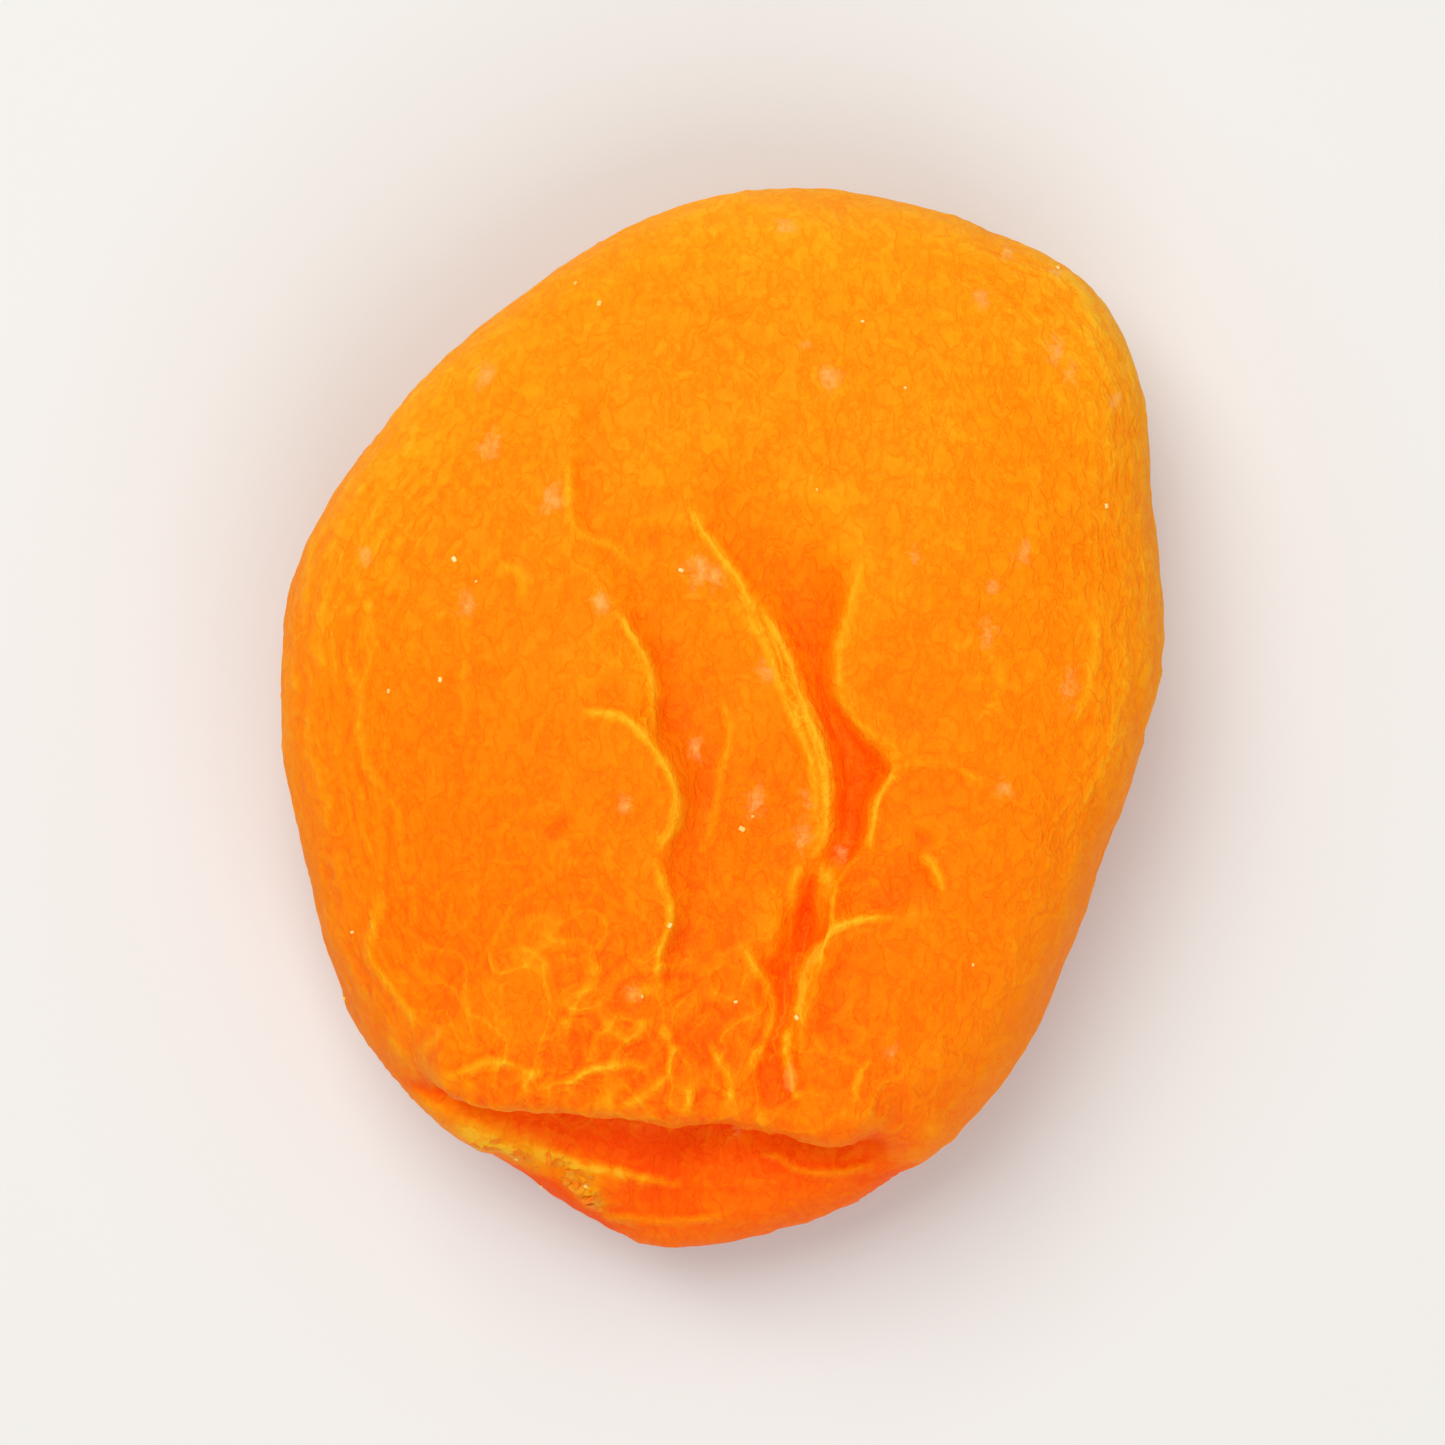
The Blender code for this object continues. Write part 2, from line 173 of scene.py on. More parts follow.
def hang_softbox(name, place, width, watts, colour):
    lamp = bpy.data.lights.new(name, "AREA")
    lamp.size = width
    lamp.energy = watts
    lamp.color = colour
    box = bpy.data.objects.new(name, lamp)
    bpy.context.scene.collection.objects.link(box)
    box.location = place
    box.rotation_euler = (-Vector(place)).to_track_quat("-Z", "Y").to_euler()


for name, settings in SOFTBOXES.items():
    hang_softbox(name, *settings)

sky = bpy.data.worlds.new("pale_sky")
sky.use_nodes = True
sky.node_tree.nodes["Background"].inputs["Color"].default_value = (1, 1, 1, 1)
sky.node_tree.nodes["Background"].inputs["Strength"].default_value = SKY_STRENGTH
bpy.context.scene.world = sky
bpy.context.scene.view_settings.view_transform = "Standard"
print(len(SOFTBOXES), "softboxes and a sky")

# %% [markdown]
# ## The flesh, from the solid
# The real skin is one closed sheet with no seam. The solid has it in flat triangles, so a copy is merged into
# one sheet, its triangles are joined into four-sided faces, and Subdivision Surface rounds it twice. Sculpting
# could do this by eye, and a voxel remesh would too, but the four-sided faces follow the folds and keep them
# crisp.

# %% Copy the solid and round it
flesh = bpy.data.objects.new("apricot_flesh", solid.data.copy())
bpy.context.scene.collection.objects.link(flesh)
flesh.data.materials.clear()
pick(flesh)
bpy.ops.mesh.customdata_custom_splitnormals_clear()
bpy.ops.object.mode_set(mode="EDIT")
bpy.ops.mesh.select_all(action="SELECT")
bpy.ops.mesh.remove_doubles(threshold=0.001 * MM)
bpy.ops.mesh.tris_convert_to_quads(face_threshold=math.pi, shape_threshold=math.pi)
bpy.ops.object.mode_set(mode="OBJECT")
rounding = flesh.modifiers.new("rounding", "SUBSURF")
rounding.levels = 2
rounding.render_levels = 2
bpy.ops.object.modifier_apply(modifier="rounding")
bpy.ops.object.shade_smooth()
print("flesh has", len(flesh.data.vertices), "corners and", len(flesh.data.polygons), "faces")

# %% [markdown]
# ## Crests
# As the flesh shrinks, the skin buckles into thin rolls along the folds and into short curled ones near the
# mouth. In the photo they are fine bright lines a third of a millimetre wide. A bump texture can't put a line
# in one chosen place, so each crest is a smooth line through a few points, and the skin under it is lifted.
# Small round pits are pressed in too, and small pads are raised where the valley is narrow.

# %% Where the crests run (height and points from above, in mm)
CRESTS = {
    "ridge_upper": (0.13, [(-3.7, 4.2), (-3.4, 3.5), (-2.85, 2.6), (-2.45, 1.5), (-2.45, 0.5), (-2.5, -0.6)]),
    "ridge_middle": (0.18, [(-5.4, 0.4), (-3.9, 0.3), (-2.8, -0.5), (-2.1, -1.5), (-1.65, -2.5), (-1.6, -3.3),
                            (-2.0, -4.2), (-2.4, -4.9)]),
    "ridge_lower": (0.16, [(-2.4, -4.6), (-2.2, -5.7), (-1.9, -6.5), (-1.9, -7.4), (-2.3, -8.6),
                           (-2.2, -10.2)]),
    "inner_ridge": (0.08, [(-0.3, 1.3), (0.2, 0.3), (0.25, -0.5), (0.0, -1.4), (-0.25, -3.1), (-0.8, -5.0)]),
    "left_bank_top": (0.12, [(-1.1, 7.9), (-0.6, 6.8), (0.5, 5.4), (1.0, 4.5), (1.3, 4.0)]),
    "left_bank": (0.16, [(1.0, 4.6), (1.8, 3.6), (2.35, 2.6), (2.7, 1.6), (3.1, 0.4), (3.5, -0.5),
                         (3.75, -1.5), (3.8, -2.8), (3.65, -4.1), (3.2, -5.2)]),
    "left_bank_second": (0.10, [(0.6, 4.1), (1.3, 3.2), (1.85, 2.2), (2.2, 1.2), (2.55, 0.2), (3.0, -0.7),
                                (3.25, -1.8), (3.3, -2.9), (3.1, -3.9)]),
    "valley_left_rim": (0.12, [(3.2, -5.0), (2.75, -5.5), (2.6, -6.3), (2.6, -7.2), (2.5, -8.2),
                               (2.2, -9.0)]),
    "right_bank_top": (0.08, [(5.0, 6.2), (4.75, 5.0), (4.4, 4.0), (4.1, 2.9), (4.15, 1.7), (4.1, 1.0)]),
    "right_bank": (0.10, [(3.95, 1.2), (4.5, 0.3), (5.1, -0.4), (5.6, -1.1), (6.2, -1.6)]),
    "second_lobe": (0.16, [(6.3, -1.6), (5.8, -2.1), (5.55, -2.8), (5.45, -3.8), (5.4, -4.9)]),
    "rib": (0.10, [(3.95, -4.7), (3.6, -5.5), (3.5, -6.4), (3.5, -7.2), (3.55, -7.9)]),
    "rib_upper": (0.05, [(5.9, -5.7), (5.0, -5.9), (4.1, -6.2)]),
    "rib_lower": (0.05, [(5.6, -6.5), (4.9, -6.7), (4.2, -7.1)]),
    "third_lobe": (0.24, [(6.6, -6.9), (5.2, -7.1), (4.05, -7.6), (3.25, -8.4), (2.85, -9.2), (2.7, -10.1),
                          (2.35, -11.0)]),
    "third_lobe_foot": (0.20, [(2.4, -10.9), (2.25, -11.7), (2.4, -12.7), (2.75, -13.9)]),
    "valley_lip": (0.15, [(0.55, -7.7), (1.05, -8.6), (1.6, -9.4), (1.85, -10.2), (1.75, -11.1), (1.4, -12.0),
                          (0.95, -12.9)]),
    "curl_left_rim": (0.11, [(-12.5, -5.9), (-12.7, -7.3), (-13.0, -8.4), (-12.5, -9.4), (-11.6, -10.5),
                             (-10.6, -11.4)]),
    "curl_corner": (0.10, [(-9.7, -10.9), (-10.6, -11.6), (-11.0, -12.3), (-10.7, -13.0), (-9.9, -13.6)]),
    "curl_wave": (0.12, [(-10.4, -13.0), (-9.4, -12.7), (-8.5, -12.4), (-7.6, -12.5), (-7.0, -12.8),
                         (-6.2, -12.6)]),
    "curl_stem": (0.10, [(-4.7, -8.4), (-4.7, -9.3), (-5.2, -10.1), (-5.6, -10.8), (-5.8, -11.7)]),
    "curl_loop": (0.12, [(-5.3, -13.9), (-5.6, -13.3), (-5.1, -12.8), (-4.2, -12.5), (-3.2, -12.45),
                         (-2.5, -12.9)]),
    "curl_branch": (0.12, [(-4.0, -14.2), (-3.3, -13.9), (-2.6, -13.4), (-1.95, -12.8), (-1.75, -12.1),
                           (-1.95, -11.4), (-2.3, -10.7)]),
    "curl_hook": (0.08, [(-4.4, -10.3), (-4.1, -11.2), (-3.4, -11.5), (-3.0, -11.0), (-2.4, -10.5)]),
    "curl_small": (0.08, [(-3.5, -10.2), (-2.9, -9.7), (-2.2, -9.6)]),
    "curl_under_valley": (0.12, [(-0.5, -11.5), (-0.1, -12.2), (0.2, -12.9), (0.25, -13.6), (0.0, -14.4)]),
    "pucker_1": (0.08, [(-9.3, -12.9), (-9.1, -13.5), (-9.3, -14.1)]),
    "pucker_2": (0.07, [(-7.5, -12.7), (-7.1, -13.3), (-7.2, -14.0)]),
    "pucker_3": (0.09, [(-5.5, -13.3), (-5.7, -13.9), (-5.4, -14.5)]),
    "pucker_4": (0.08, [(-1.0, -13.2), (-1.2, -14.0), (-0.9, -14.9)]),
    "pucker_5": (0.07, [(1.6, -13.9), (1.4, -14.6), (1.6, -15.3)]),
    "pucker_6": (0.08, [(-12.2, -11.4), (-11.7, -12.4), (-11.2, -13.4)]),
    "curl_right": (0.10, [(5.4, -12.2), (4.9, -13.1), (4.8, -14.0)]),
    "flank_long": (0.05, [(-13.4, 6.1), (-13.35, 5.0), (-12.95, 4.2), (-12.85, 2.7), (-12.9, 1.9),
                          (-13.15, 1.4), (-13.2, 0.0), (-13.1, -1.3), (-12.65, -2.0), (-12.2, -2.6),
                          (-11.8, -3.6), (-11.7, -5.4), (-11.5, -7.0)]),
    "flank_upper": (0.05, [(-14.1, 7.2), (-14.4, 6.0), (-14.45, 4.6), (-14.7, 3.0), (-14.65, 2.3),
                           (-14.1, 1.6)]),
    "flank_edge": (0.045, [(-14.8, 7.4), (-15.2, 6.4), (-15.35, 5.5), (-15.3, 3.2)]),
    "flank_low": (0.045, [(-15.2, 0.6), (-15.15, -1.3), (-14.6, -2.9), (-14.5, -4.0)]),
    "flank_inner": (0.04, [(-9.2, 2.8), (-9.45, 1.4), (-9.3, 0.3), (-9.7, -0.8)]),
    "flank_fork": (0.04, [(-10.5, -1.4), (-10.55, -2.7), (-11.0, -3.6)]),
    "upper_loop": (0.05, [(-8.3, 5.3), (-7.6, 5.6), (-7.2, 5.2), (-7.3, 4.4)]),
    "right_edge": (0.045, [(14.6, 3.4), (14.8, 1.8), (14.5, 0.2), (13.9, -1.6), (13.4, -2.6)]),
    "right_inner": (0.05, [(13.4, 4.2), (13.6, 2.6), (13.3, 1.2), (12.7, -0.4)]),
    "upper_line": (0.06, [(-5.5, 9.9), (-5.5, 8.6), (-5.4, 7.3), (-4.7, 6.6), (-3.9, 6.3), (-3.4, 5.5)]),
    "corner_line": (0.10, [(12.3, 16.9), (13.1, 16.2), (13.6, 15.1), (13.9, 14.2)]),
    "right_short": (0.13, [(7.2, -4.7), (7.7, -5.4), (8.0, -6.2)]),
    "lobe_line": (0.04, [(6.0, -1.8), (7.2, -1.5), (8.4, -1.6), (9.8, -2.4)]),
    "lobe_arc": (0.04, [(8.0, 2.6), (9.2, 2.9), (10.0, 2.0), (9.9, 0.8), (9.0, 0.2)]),
    "lip_right": (0.16, [(1.2, -16.05), (2.0, -16.1), (2.8, -16.5), (3.6, -16.7), (4.7, -16.6),
                         (5.9, -16.3)]),
    "lip_left": (0.18, [(-9.7, -16.0), (-8.7, -15.85), (-8.0, -15.9), (-7.4, -16.3)]),
    "lip_middle": (0.18, [(-7.0, -16.2), (-6.2, -16.1), (-5.2, -16.5), (-3.9, -16.7), (-2.7, -17.05),
                          (-1.4, -17.2)]),
    "lip_lower": (0.12, [(-4.9, -18.7), (-3.8, -18.6), (-2.6, -18.7), (-1.1, -18.6), (0.6, -18.2)]),
}
PITS = [                # x, y, depth and radius in mm (a pad that stands up has a minus depth)
    (1.7, -6.4, -0.25, 0.9), (1.6, -7.6, -0.30, 0.9), (4.2, -6.0, -0.25, 0.55), (4.15, -7.0, -0.30, 0.55),
    (3.9, -5.8, -0.35, 0.4), (3.85, -6.5, -0.45, 0.4), (3.85, -7.2, -0.45, 0.4), (2.15, -7.6, -0.30, 0.4),
    (1.95, -8.3, -0.30, 0.4), (0.9, -9.0, -0.16, 0.7), (1.2, -10.6, -0.16, 0.6), (3.6, -8.7, -0.40, 0.45),
    (3.25, -9.6, -0.40, 0.45), (3.0, -10.5, -0.34, 0.45), (2.85, -11.6, -0.22, 0.5),
    (-2.6, 6.6, 0.16, 0.45), (-2.0, 7.9, 0.12, 0.4), (-2.1, 2.4, 0.12, 0.5), (-1.8, 0.2, 0.18, 0.5),
    (-0.8, -2.6, 0.12, 0.45), (-1.4, -7.8, 0.18, 0.45), (-6.1, -3.8, 0.18, 0.35), (-5.6, -3.5, 0.12, 0.3),
    (7.4, -4.2, 0.2, 0.4), (-5.2, -11.5, 0.12, 0.45), (1.0, -1.7, 0.10, 0.45), (0.4, -17.4, 0.12, 0.25),
]
print(len(CRESTS), "crests and", len(PITS), "pits and pads")

# %% Lift the skin along them
TOP_LEVEL = 4.0         # mm: what is higher and faces up belongs to the top
WANDER = 0.12           # mm that a crest strays from its drawn line
WANDER_PITCH = 1.3      # mm from one stray to the next
CREST_WIDTH = 0.22      # mm from a crest's middle to where it has mostly sunk
CREST_REACH = 1.0       # mm, past which a crest is not felt
FULL_CREST = 0.15       # mm: a crest this high or more gets its painted highlight at full strength


def gap_to(line, points):
    """How far each point is from the line, positive on its left, and how far along the line its foot lies."""
    gaps = points[:, None] - line[None]
    nearest = (gaps**2).sum(2).argmin(1)
    off = gaps[np.arange(len(points)), nearest]
    way = np.gradient(line, axis=0)[nearest]
    way /= np.linalg.norm(way, axis=1)[:, None]
    across = way[:, 0] * off[:, 1] - way[:, 1] * off[:, 0]
    beyond = np.abs((way * off).sum(1))
    size = np.hypot(across, np.maximum(beyond - 0.1, 0))
    return np.where(across < 0, -size, size), nearest / (len(line) - 1)


def near_line(line, points, reach):
    """Which points are in the line's box, made reach mm bigger all round."""
    return np.all((points > line.min(0) - reach) & (points < line.max(0) + reach), axis=1)


def fade_ends(along):
    """1 along a line, and a soft fall to almost nothing at its two ends."""
    return ease(5 * along + 0.1) * ease(5 * (1 - along) + 0.1)


skin = corners_of(flesh)
facing = facing_of(flesh)
on_top = np.flatnonzero((skin[:, 2] > TOP_LEVEL) & (facing[:, 2] > 0.1))
seen = skin[on_top]
strays = [soft_noise(seen, WANDER_PITCH, seed) for seed in (4.1, 9.7)]
strayed = seen[:, :2] + WANDER * np.stack(strays, 1)
lift = np.zeros(len(skin))
crest_gap = np.full(len(skin), CREST_REACH)
crest = np.zeros(len(skin))
for height, points in CRESTS.values():
    line = smooth_line(points)
    inside = near_line(line, strayed, CREST_REACH)
    gap, along = gap_to(line, strayed[inside])
    fade = fade_ends(along)
    at = on_top[inside]
    lift[at] = np.maximum(lift[at], height * fade * np.exp(-((gap / CREST_WIDTH) ** 2)))
    nearer = np.abs(gap) < np.abs(crest_gap[at])
    crest_gap[at[nearer]] = gap[nearer]
    crest[at[nearer]] = (ease((0.6 - np.abs(gap)) / 0.3) * fade * min(height / FULL_CREST, 1))[nearer]
for x, y, depth, radius in PITS:
    gap = np.hypot(*(strayed - (x, y)).T) / radius
    lift[on_top] -= depth * np.exp(-(gap**2))
raised = skin.copy()
raised[:, 2] += lift
move_corners(flesh, raised)
print("crests raised by up to", round(lift.max(), 2), "mm")

# %% [markdown]
# ## Wrinkles
# Between the crests the skin is never smooth. It is curled near the mouth, pleated where it rolls over the
# upper lip, runs in fine lines along both flanks where it was stretched over the edge, is crossed by level
# creases round the side, and is faintly lumpy all over. Brushes could press this in, but noise is steadier: a
# line drawn where smooth noise crosses zero curls just as wrinkled skin does.

# %% Measure how far in from the outline each corner is
SECTORS = 120           # slices round the middle, each with its own farthest corner

skin = corners_of(flesh)
turn = np.arctan2(skin[:, 1], skin[:, 0])
far = np.hypot(skin[:, 0], skin[:, 1])
sector = ((turn + np.pi) / (2 * np.pi) * SECTORS).astype(int) % SECTORS
edge = np.zeros(SECTORS)
np.maximum.at(edge, sector, far)
middles = (np.arange(SECTORS) + 0.5) / SECTORS * 2 * np.pi - np.pi
inward = np.interp(turn, middles, edge, period=2 * np.pi) - far
print("the outline is", round(edge.min(), 1), "to", round(edge.max(), 1), "mm from the middle")

# %% Curl, crease and roughen the skin
FLANK_PITCH = 0.62      # mm between the fine lines along a flank
LIP_LEVEL = -14.8       # mm: where the upper lip's edge crosses the middle, seen from above
LIP_SLOPE = 0.12        # mm that this edge falls for each mm to the right
LIP_LEFT = -13          # mm: where the upper lip ends at the left
LIP_RIGHT = 9           # mm: and at the right
HEIGHTS = {             # mm that each kind of relief stands up
    "fine lumps": 0.04, "broad lumps": 0.07, "curls by the mouth": 0.07, "pleats on the lip": 0.08,
    "lump at the tear": 0.22, "curls on top": 0.035, "lines along a flank": 0.035,
    "creases round the side": 0.06, "folds underneath": 0.09,
}
SETTLED = 0.05          # mm that the whole skin is sunk, so that its wrinkles stay in the solid's box


def curl_value(points, pitch, seed):
    """Smooth noise bent by more noise: it is nothing along lines that curl as wrinkles do."""
    strayed = points + 0.35 * np.array(pitch) * soft_noise(points, pitch, seed + 20)[:, None]
    return soft_noise(strayed, pitch, seed)


def curled_lines(points, pitch, width, seed):
    return np.clip(1 - np.abs(curl_value(points, pitch, seed)) / width, 0, 1)


def near_place(x, y, reach):
    """1 at a place on the skin seen from above, and less the farther away."""
    return np.exp(-(((skin[:, 0] - x) ** 2 + (skin[:, 1] - y) ** 2) / reach**2))


facing = facing_of(flesh)
up = ease((facing[:, 2] - 0.1) / 0.4)
down = ease((-facing[:, 2] - 0.1) / 0.4)
side = 1 - up - down
degrees = np.degrees(turn)
near_mouth = np.minimum(near_place(-7, -10.5, 5.5) + near_place(-2, -12, 4) + 0.6 * near_place(5, -13, 4), 1)
left_flank = ease((np.abs(degrees) - 130) / 14) * ease((6.0 - inward) / 2.5)
right_flank = ease((50 - np.abs(degrees - 18)) / 14) * ease((4.2 - inward) / 2.2)
flank_gap = inward + 0.42 * soft_noise(skin, 2.4, 5.2)
flank_lines = np.sin(2 * np.pi * flank_gap / FLANK_PITCH)
flank_breaks = ease(0.6 + 1.4 * soft_noise(skin, 1.7, 6.6))
curl = curl_value(skin, 1.6, 7.1)
above_lip = skin[:, 1] - LIP_LEVEL + LIP_SLOPE * skin[:, 0]
lip_pleats = ease((2.6 - above_lip) / 2.2) * ease((above_lip + 0.9) / 0.5) * ease((skin[:, 2] - 5) / 2)
lip_pleats *= ease((skin[:, 0] - LIP_LEFT) / 2) * ease((LIP_RIGHT - skin[:, 0]) / 3)

torn_lump = near_place(-5.2, -17.4, 0.7) * (0.7 + soft_noise(skin, 0.45, 41.0)) * ease(skin[:, 2] - 2)
shapes = {
    "fine lumps": soft_noise(skin, 0.7, 1.3),
    "broad lumps": soft_noise(skin, 2.2, 2.9),
    "curls by the mouth": up * near_mouth * np.clip(1 - np.abs(curl) / 0.15, 0, 1),
    "pleats on the lip": lip_pleats * curled_lines(skin, (1.0, 2.6, 2.6), 0.3, 31.0),
    "lump at the tear": torn_lump,
    "curls on top": up * (1 - near_mouth) * curled_lines(skin, 1.1, 0.16, 3.3),
    "lines along a flank": up * (left_flank + right_flank) * flank_lines * flank_breaks,
    "creases round the side": side * curled_lines(skin, (2.6, 2.6, 0.9), 0.2, 8.8),
    "folds underneath": down * curled_lines(skin, (1.5, 3.4, 2.0), 0.2, 12.5),
}
relief = sum(HEIGHTS[kind] * shape for kind, shape in shapes.items())
move_corners(flesh, skin + facing * (relief - SETTLED)[:, None])
print("wrinkles from", round(relief.min(), 2), "to", round(relief.max(), 2), "mm")

# %% [markdown]
# ## Marks for the paint
# The colour follows the shape: hollows are painted a deep red orange, a painted shade for the light trapped
# there, and crests are painted yellow, a painted highlight. The mesh knows where they are. Each corner is
# compared with a smoothed copy of the skin, and the difference is kept as an attribute that the material can
# read. A painted map could hold the same marks, but it would need the skin unwrapped first.

# %% Compare the skin with a smoothed copy
NARROW_ROUNDS = 12      # rounds of smoothing that level wrinkles
BROAD_ROUNDS = 150      # and that level the folds too

pairs = np.empty(len(flesh.data.edges) * 2, int)
flesh.data.edges.foreach_get("vertices", pairs)
pairs = pairs.reshape(-1, 2)
neighbours = np.bincount(pairs.ravel(), minlength=len(flesh.data.vertices))


def relaxed(points, rounds):
    """The points, each moved to the average of its neighbours, so many times over."""
    points = points.copy()
    for _ in range(rounds):
        for axis in range(3):
            total = np.bincount(pairs[:, 0], points[pairs[:, 1], axis], len(points))
            total += np.bincount(pairs[:, 1], points[pairs[:, 0], axis], len(points))
            points[:, axis] = total / neighbours
    return points


skin = corners_of(flesh)
facing = facing_of(flesh)
narrow = relaxed(skin, NARROW_ROUNDS)
broad = relaxed(narrow, BROAD_ROUNDS)
fine_hollow = ((narrow - skin) * facing).sum(1)
deep_hollow = ((broad - narrow) * facing).sum(1)
print("hollows up to", round(deep_hollow.max(), 2), "mm below the smoothed skin")

# %% Find the patches of painted sheen
PAINTED_SHEEN = [                # x, y and radius in mm
    (12.2, 13.6, 0.5), (12.7, 12.7, 0.35), (9.4, 15.4, 0.35), (3.1, 13.7, 0.28), (3.9, 12.5, 0.5),
    (6.9, 6.1, 0.3), (10.9, 6.2, 0.4), (9.75, 4.9, 0.3), (14.4, 11.8, 0.3), (10.5, 17.3, 0.35),
    (12.4, 16.7, 0.3), (2.3, 18.2, 0.4), (-6.2, 8.1, 0.5), (-0.9, 5.5, 0.55), (-0.3, 5.2, 0.4),
    (-4.4, 4.3, 0.4), (2.95, -2.9, 0.35), (2.85, -4.3, 0.4), (1.2, -3.0, 0.5), (-3.5, -3.0, 0.3),
    (1.5, 1.8, 0.35), (-1.0, -0.9, 0.4), (4.4, -4.8, 0.35), (-8.7, 12.8, 0.5), (-8.5, 10.1, 0.5),
    (9.6, 3.2, 0.4), (-9.2, 4.3, 0.4), (6.2, -12.0, 0.3), (2.4, -12.9, 0.35), (-3.2, -9.9, 0.35),
    (10.2, -2.4, 0.35), (0.6, -15.0, 0.3), (12.6, 1.2, 0.5), (-13.0, 6.0, 0.4),
]
PAINTED_SHEEN_STRETCH = 1.5      # how much longer a patch is than wide

# painted highlight: soft pale patches that stand for reflections of the soft light
painted_sheen = np.zeros(len(skin))
for x, y, radius in PAINTED_SHEEN:
    across, along = (skin[:, 0] - x) / radius, (skin[:, 1] - y) / (PAINTED_SHEEN_STRETCH * radius)
    painted_sheen = np.maximum(painted_sheen, np.exp(-(across**2) - along**2))
painted_sheen *= up
print(len(PAINTED_SHEEN), "waxy patches")

# %% Find the valley, its left bank and its pale rims
BANK_REACH = 2.0        # mm
RIM_REACH = 1.5         # mm
RIM_WIDTH = 0.3         # mm

left_bank = smooth_line(CRESTS["left_bank"][1])
bank_gap = np.full(len(skin), -BANK_REACH)
near_bank = near_line(left_bank, skin[:, :2], BANK_REACH)
bank_gap[near_bank], bank_along = gap_to(left_bank, skin[near_bank, :2])
bank_gap[near_bank] *= -1
bank_fold = np.zeros(len(skin))
bank_fold[near_bank] = ease(5 * bank_along) * ease(3 * (1 - bank_along))
bank_fold *= ease((1.3 + bank_gap) / 0.5) * ease(-bank_gap / 0.15) * up

VALLEY_LEFT = [
    (-0.9, 8.0), (-0.3, 6.6), (0.9, 4.9), (2.0, 3.6), (2.6, 2.4), (2.95, 1.0), (3.6, -0.5), (3.9, -1.6),
    (3.95, -3.0), (3.85, -4.2), (3.4, -5.2), (2.75, -6.3), (2.65, -7.6), (2.0, -8.9), (1.95, -10.5),
    (1.55, -12.4), (1.4, -13.8),
]
VALLEY_RIGHT = [
    (2.6, 8.0), (4.3, 6.6), (4.6, 4.9), (3.95, 3.0), (3.9, 1.2), (4.4, 0.2), (5.5, -1.1), (6.0, -1.7),
    (5.5, -2.2), (5.3, -3.4), (4.9, -4.5), (3.9, -5.4), (3.45, -6.3), (3.2, -7.6), (2.6, -8.9), (2.3, -10.5),
    (2.0, -12.4), (2.2, -13.8),
]


def across_at(edge_points, y):
    """How far to the right an edge of the valley lies, at each y."""
    line = smooth_line(edge_points)[::-1]
    return np.interp(y, line[:, 1], line[:, 0])


# painted shade: the valley floor is painted a little redder
valley = ease((skin[:, 0] - across_at(VALLEY_LEFT, skin[:, 1])) / 0.3 + 0.3)
valley *= ease((across_at(VALLEY_RIGHT, skin[:, 1]) - skin[:, 0]) / 0.3 + 0.3)
valley *= ease((7.5 - skin[:, 1]) / 5) * ease((skin[:, 1] + 13.5) / 3) * up * (1 - 0.8 * crest)

RIM_HIGHLIGHTS = {           # points from above, in mm, of the broad rims right of the valley, painted paler as a painted highlight
    "third_lobe": [(5.8, -7.2), (4.6, -7.5), (3.7, -8.05), (3.1, -9.0), (2.7, -10.7), (2.35, -11.6),
                   (2.4, -12.9)],
    "rib": [(4.4, -5.1), (3.85, -5.6), (3.65, -6.4), (3.65, -7.2), (3.8, -7.9)],
}
# painted highlight: the rims right of the valley are painted paler
rim_highlight = np.zeros(len(skin))
for points in RIM_HIGHLIGHTS.values():
    line = smooth_line(points)
    near = near_line(line, skin[:, :2], RIM_REACH)
    gap, along = gap_to(line, skin[near, :2])
    rim_highlight[near] = np.maximum(rim_highlight[near], fade_ends(along) * np.exp(-((gap / RIM_WIDTH) ** 2)))
rim_highlight *= up
print("the valley covers", int((valley > 0.5).sum()), "corners")

# %% Find the mouth, its lips and its tear
TORN_EDGE = [(-10.4, -16.0), (-9.0, -16.3), (-7.6, -16.6), (-6.0, -17.2), (-4.8, -18.2), (-3.6, -19.2)]
DRY_AND_LIT_PATCHES = [         # x, y and reach in mm
    (-9.4, -15.4, 0.6), (-8.5, -15.7, 0.7), (-7.5, -16.0, 0.7), (-6.6, -16.2, 0.55), (-5.6, -16.5, 0.5),
    (-4.6, -16.7, 0.4), (-3.8, -16.9, 0.35), (-3.0, -17.1, 0.25), (-5.2, -17.4, 0.6), (-4.8, -18.0, 0.4),
]

torn_edge = smooth_line(TORN_EDGE)
# painted shadow: the underside below the tear faces down and is painted redder
below_torn = np.interp(skin[:, 0], torn_edge[:, 0], torn_edge[:, 1]) - skin[:, 1]
shade_below_tear = ease((below_torn + 0.1) / 0.5) * ease((skin[:, 0] + 10.6) / 1.0) * ease((-3.2 - skin[:, 0]) / 1.2)
shade_below_tear *= ease((skin[:, 2] - 2.5) / 1.5)
# paler yellow: dried, torn flesh, and partly a painted highlight along the lip's crests
dry_and_lit_patch = np.minimum(sum(near_place(*patch) for patch in DRY_AND_LIT_PATCHES), 1) * up
above_lip = skin[:, 1] - LIP_LEVEL + LIP_SLOPE * skin[:, 0]
# painted light: below the upper lip's edge the flesh is painted paler, lifting the shade there
mouth = ease(-above_lip / 0.7) * ease((12.5 - np.abs(skin[:, 0] + 2.0)) / 5) * ease((skin[:, 2] - 2.0) / 2.0)
lower_lip = ease(-above_lip / 1.4) * ease((skin[:, 0] + 12) / 4) * ease((14 - skin[:, 0]) / 5)
lower_lip *= ease((skin[:, 2] - 0.5) / 2.0)
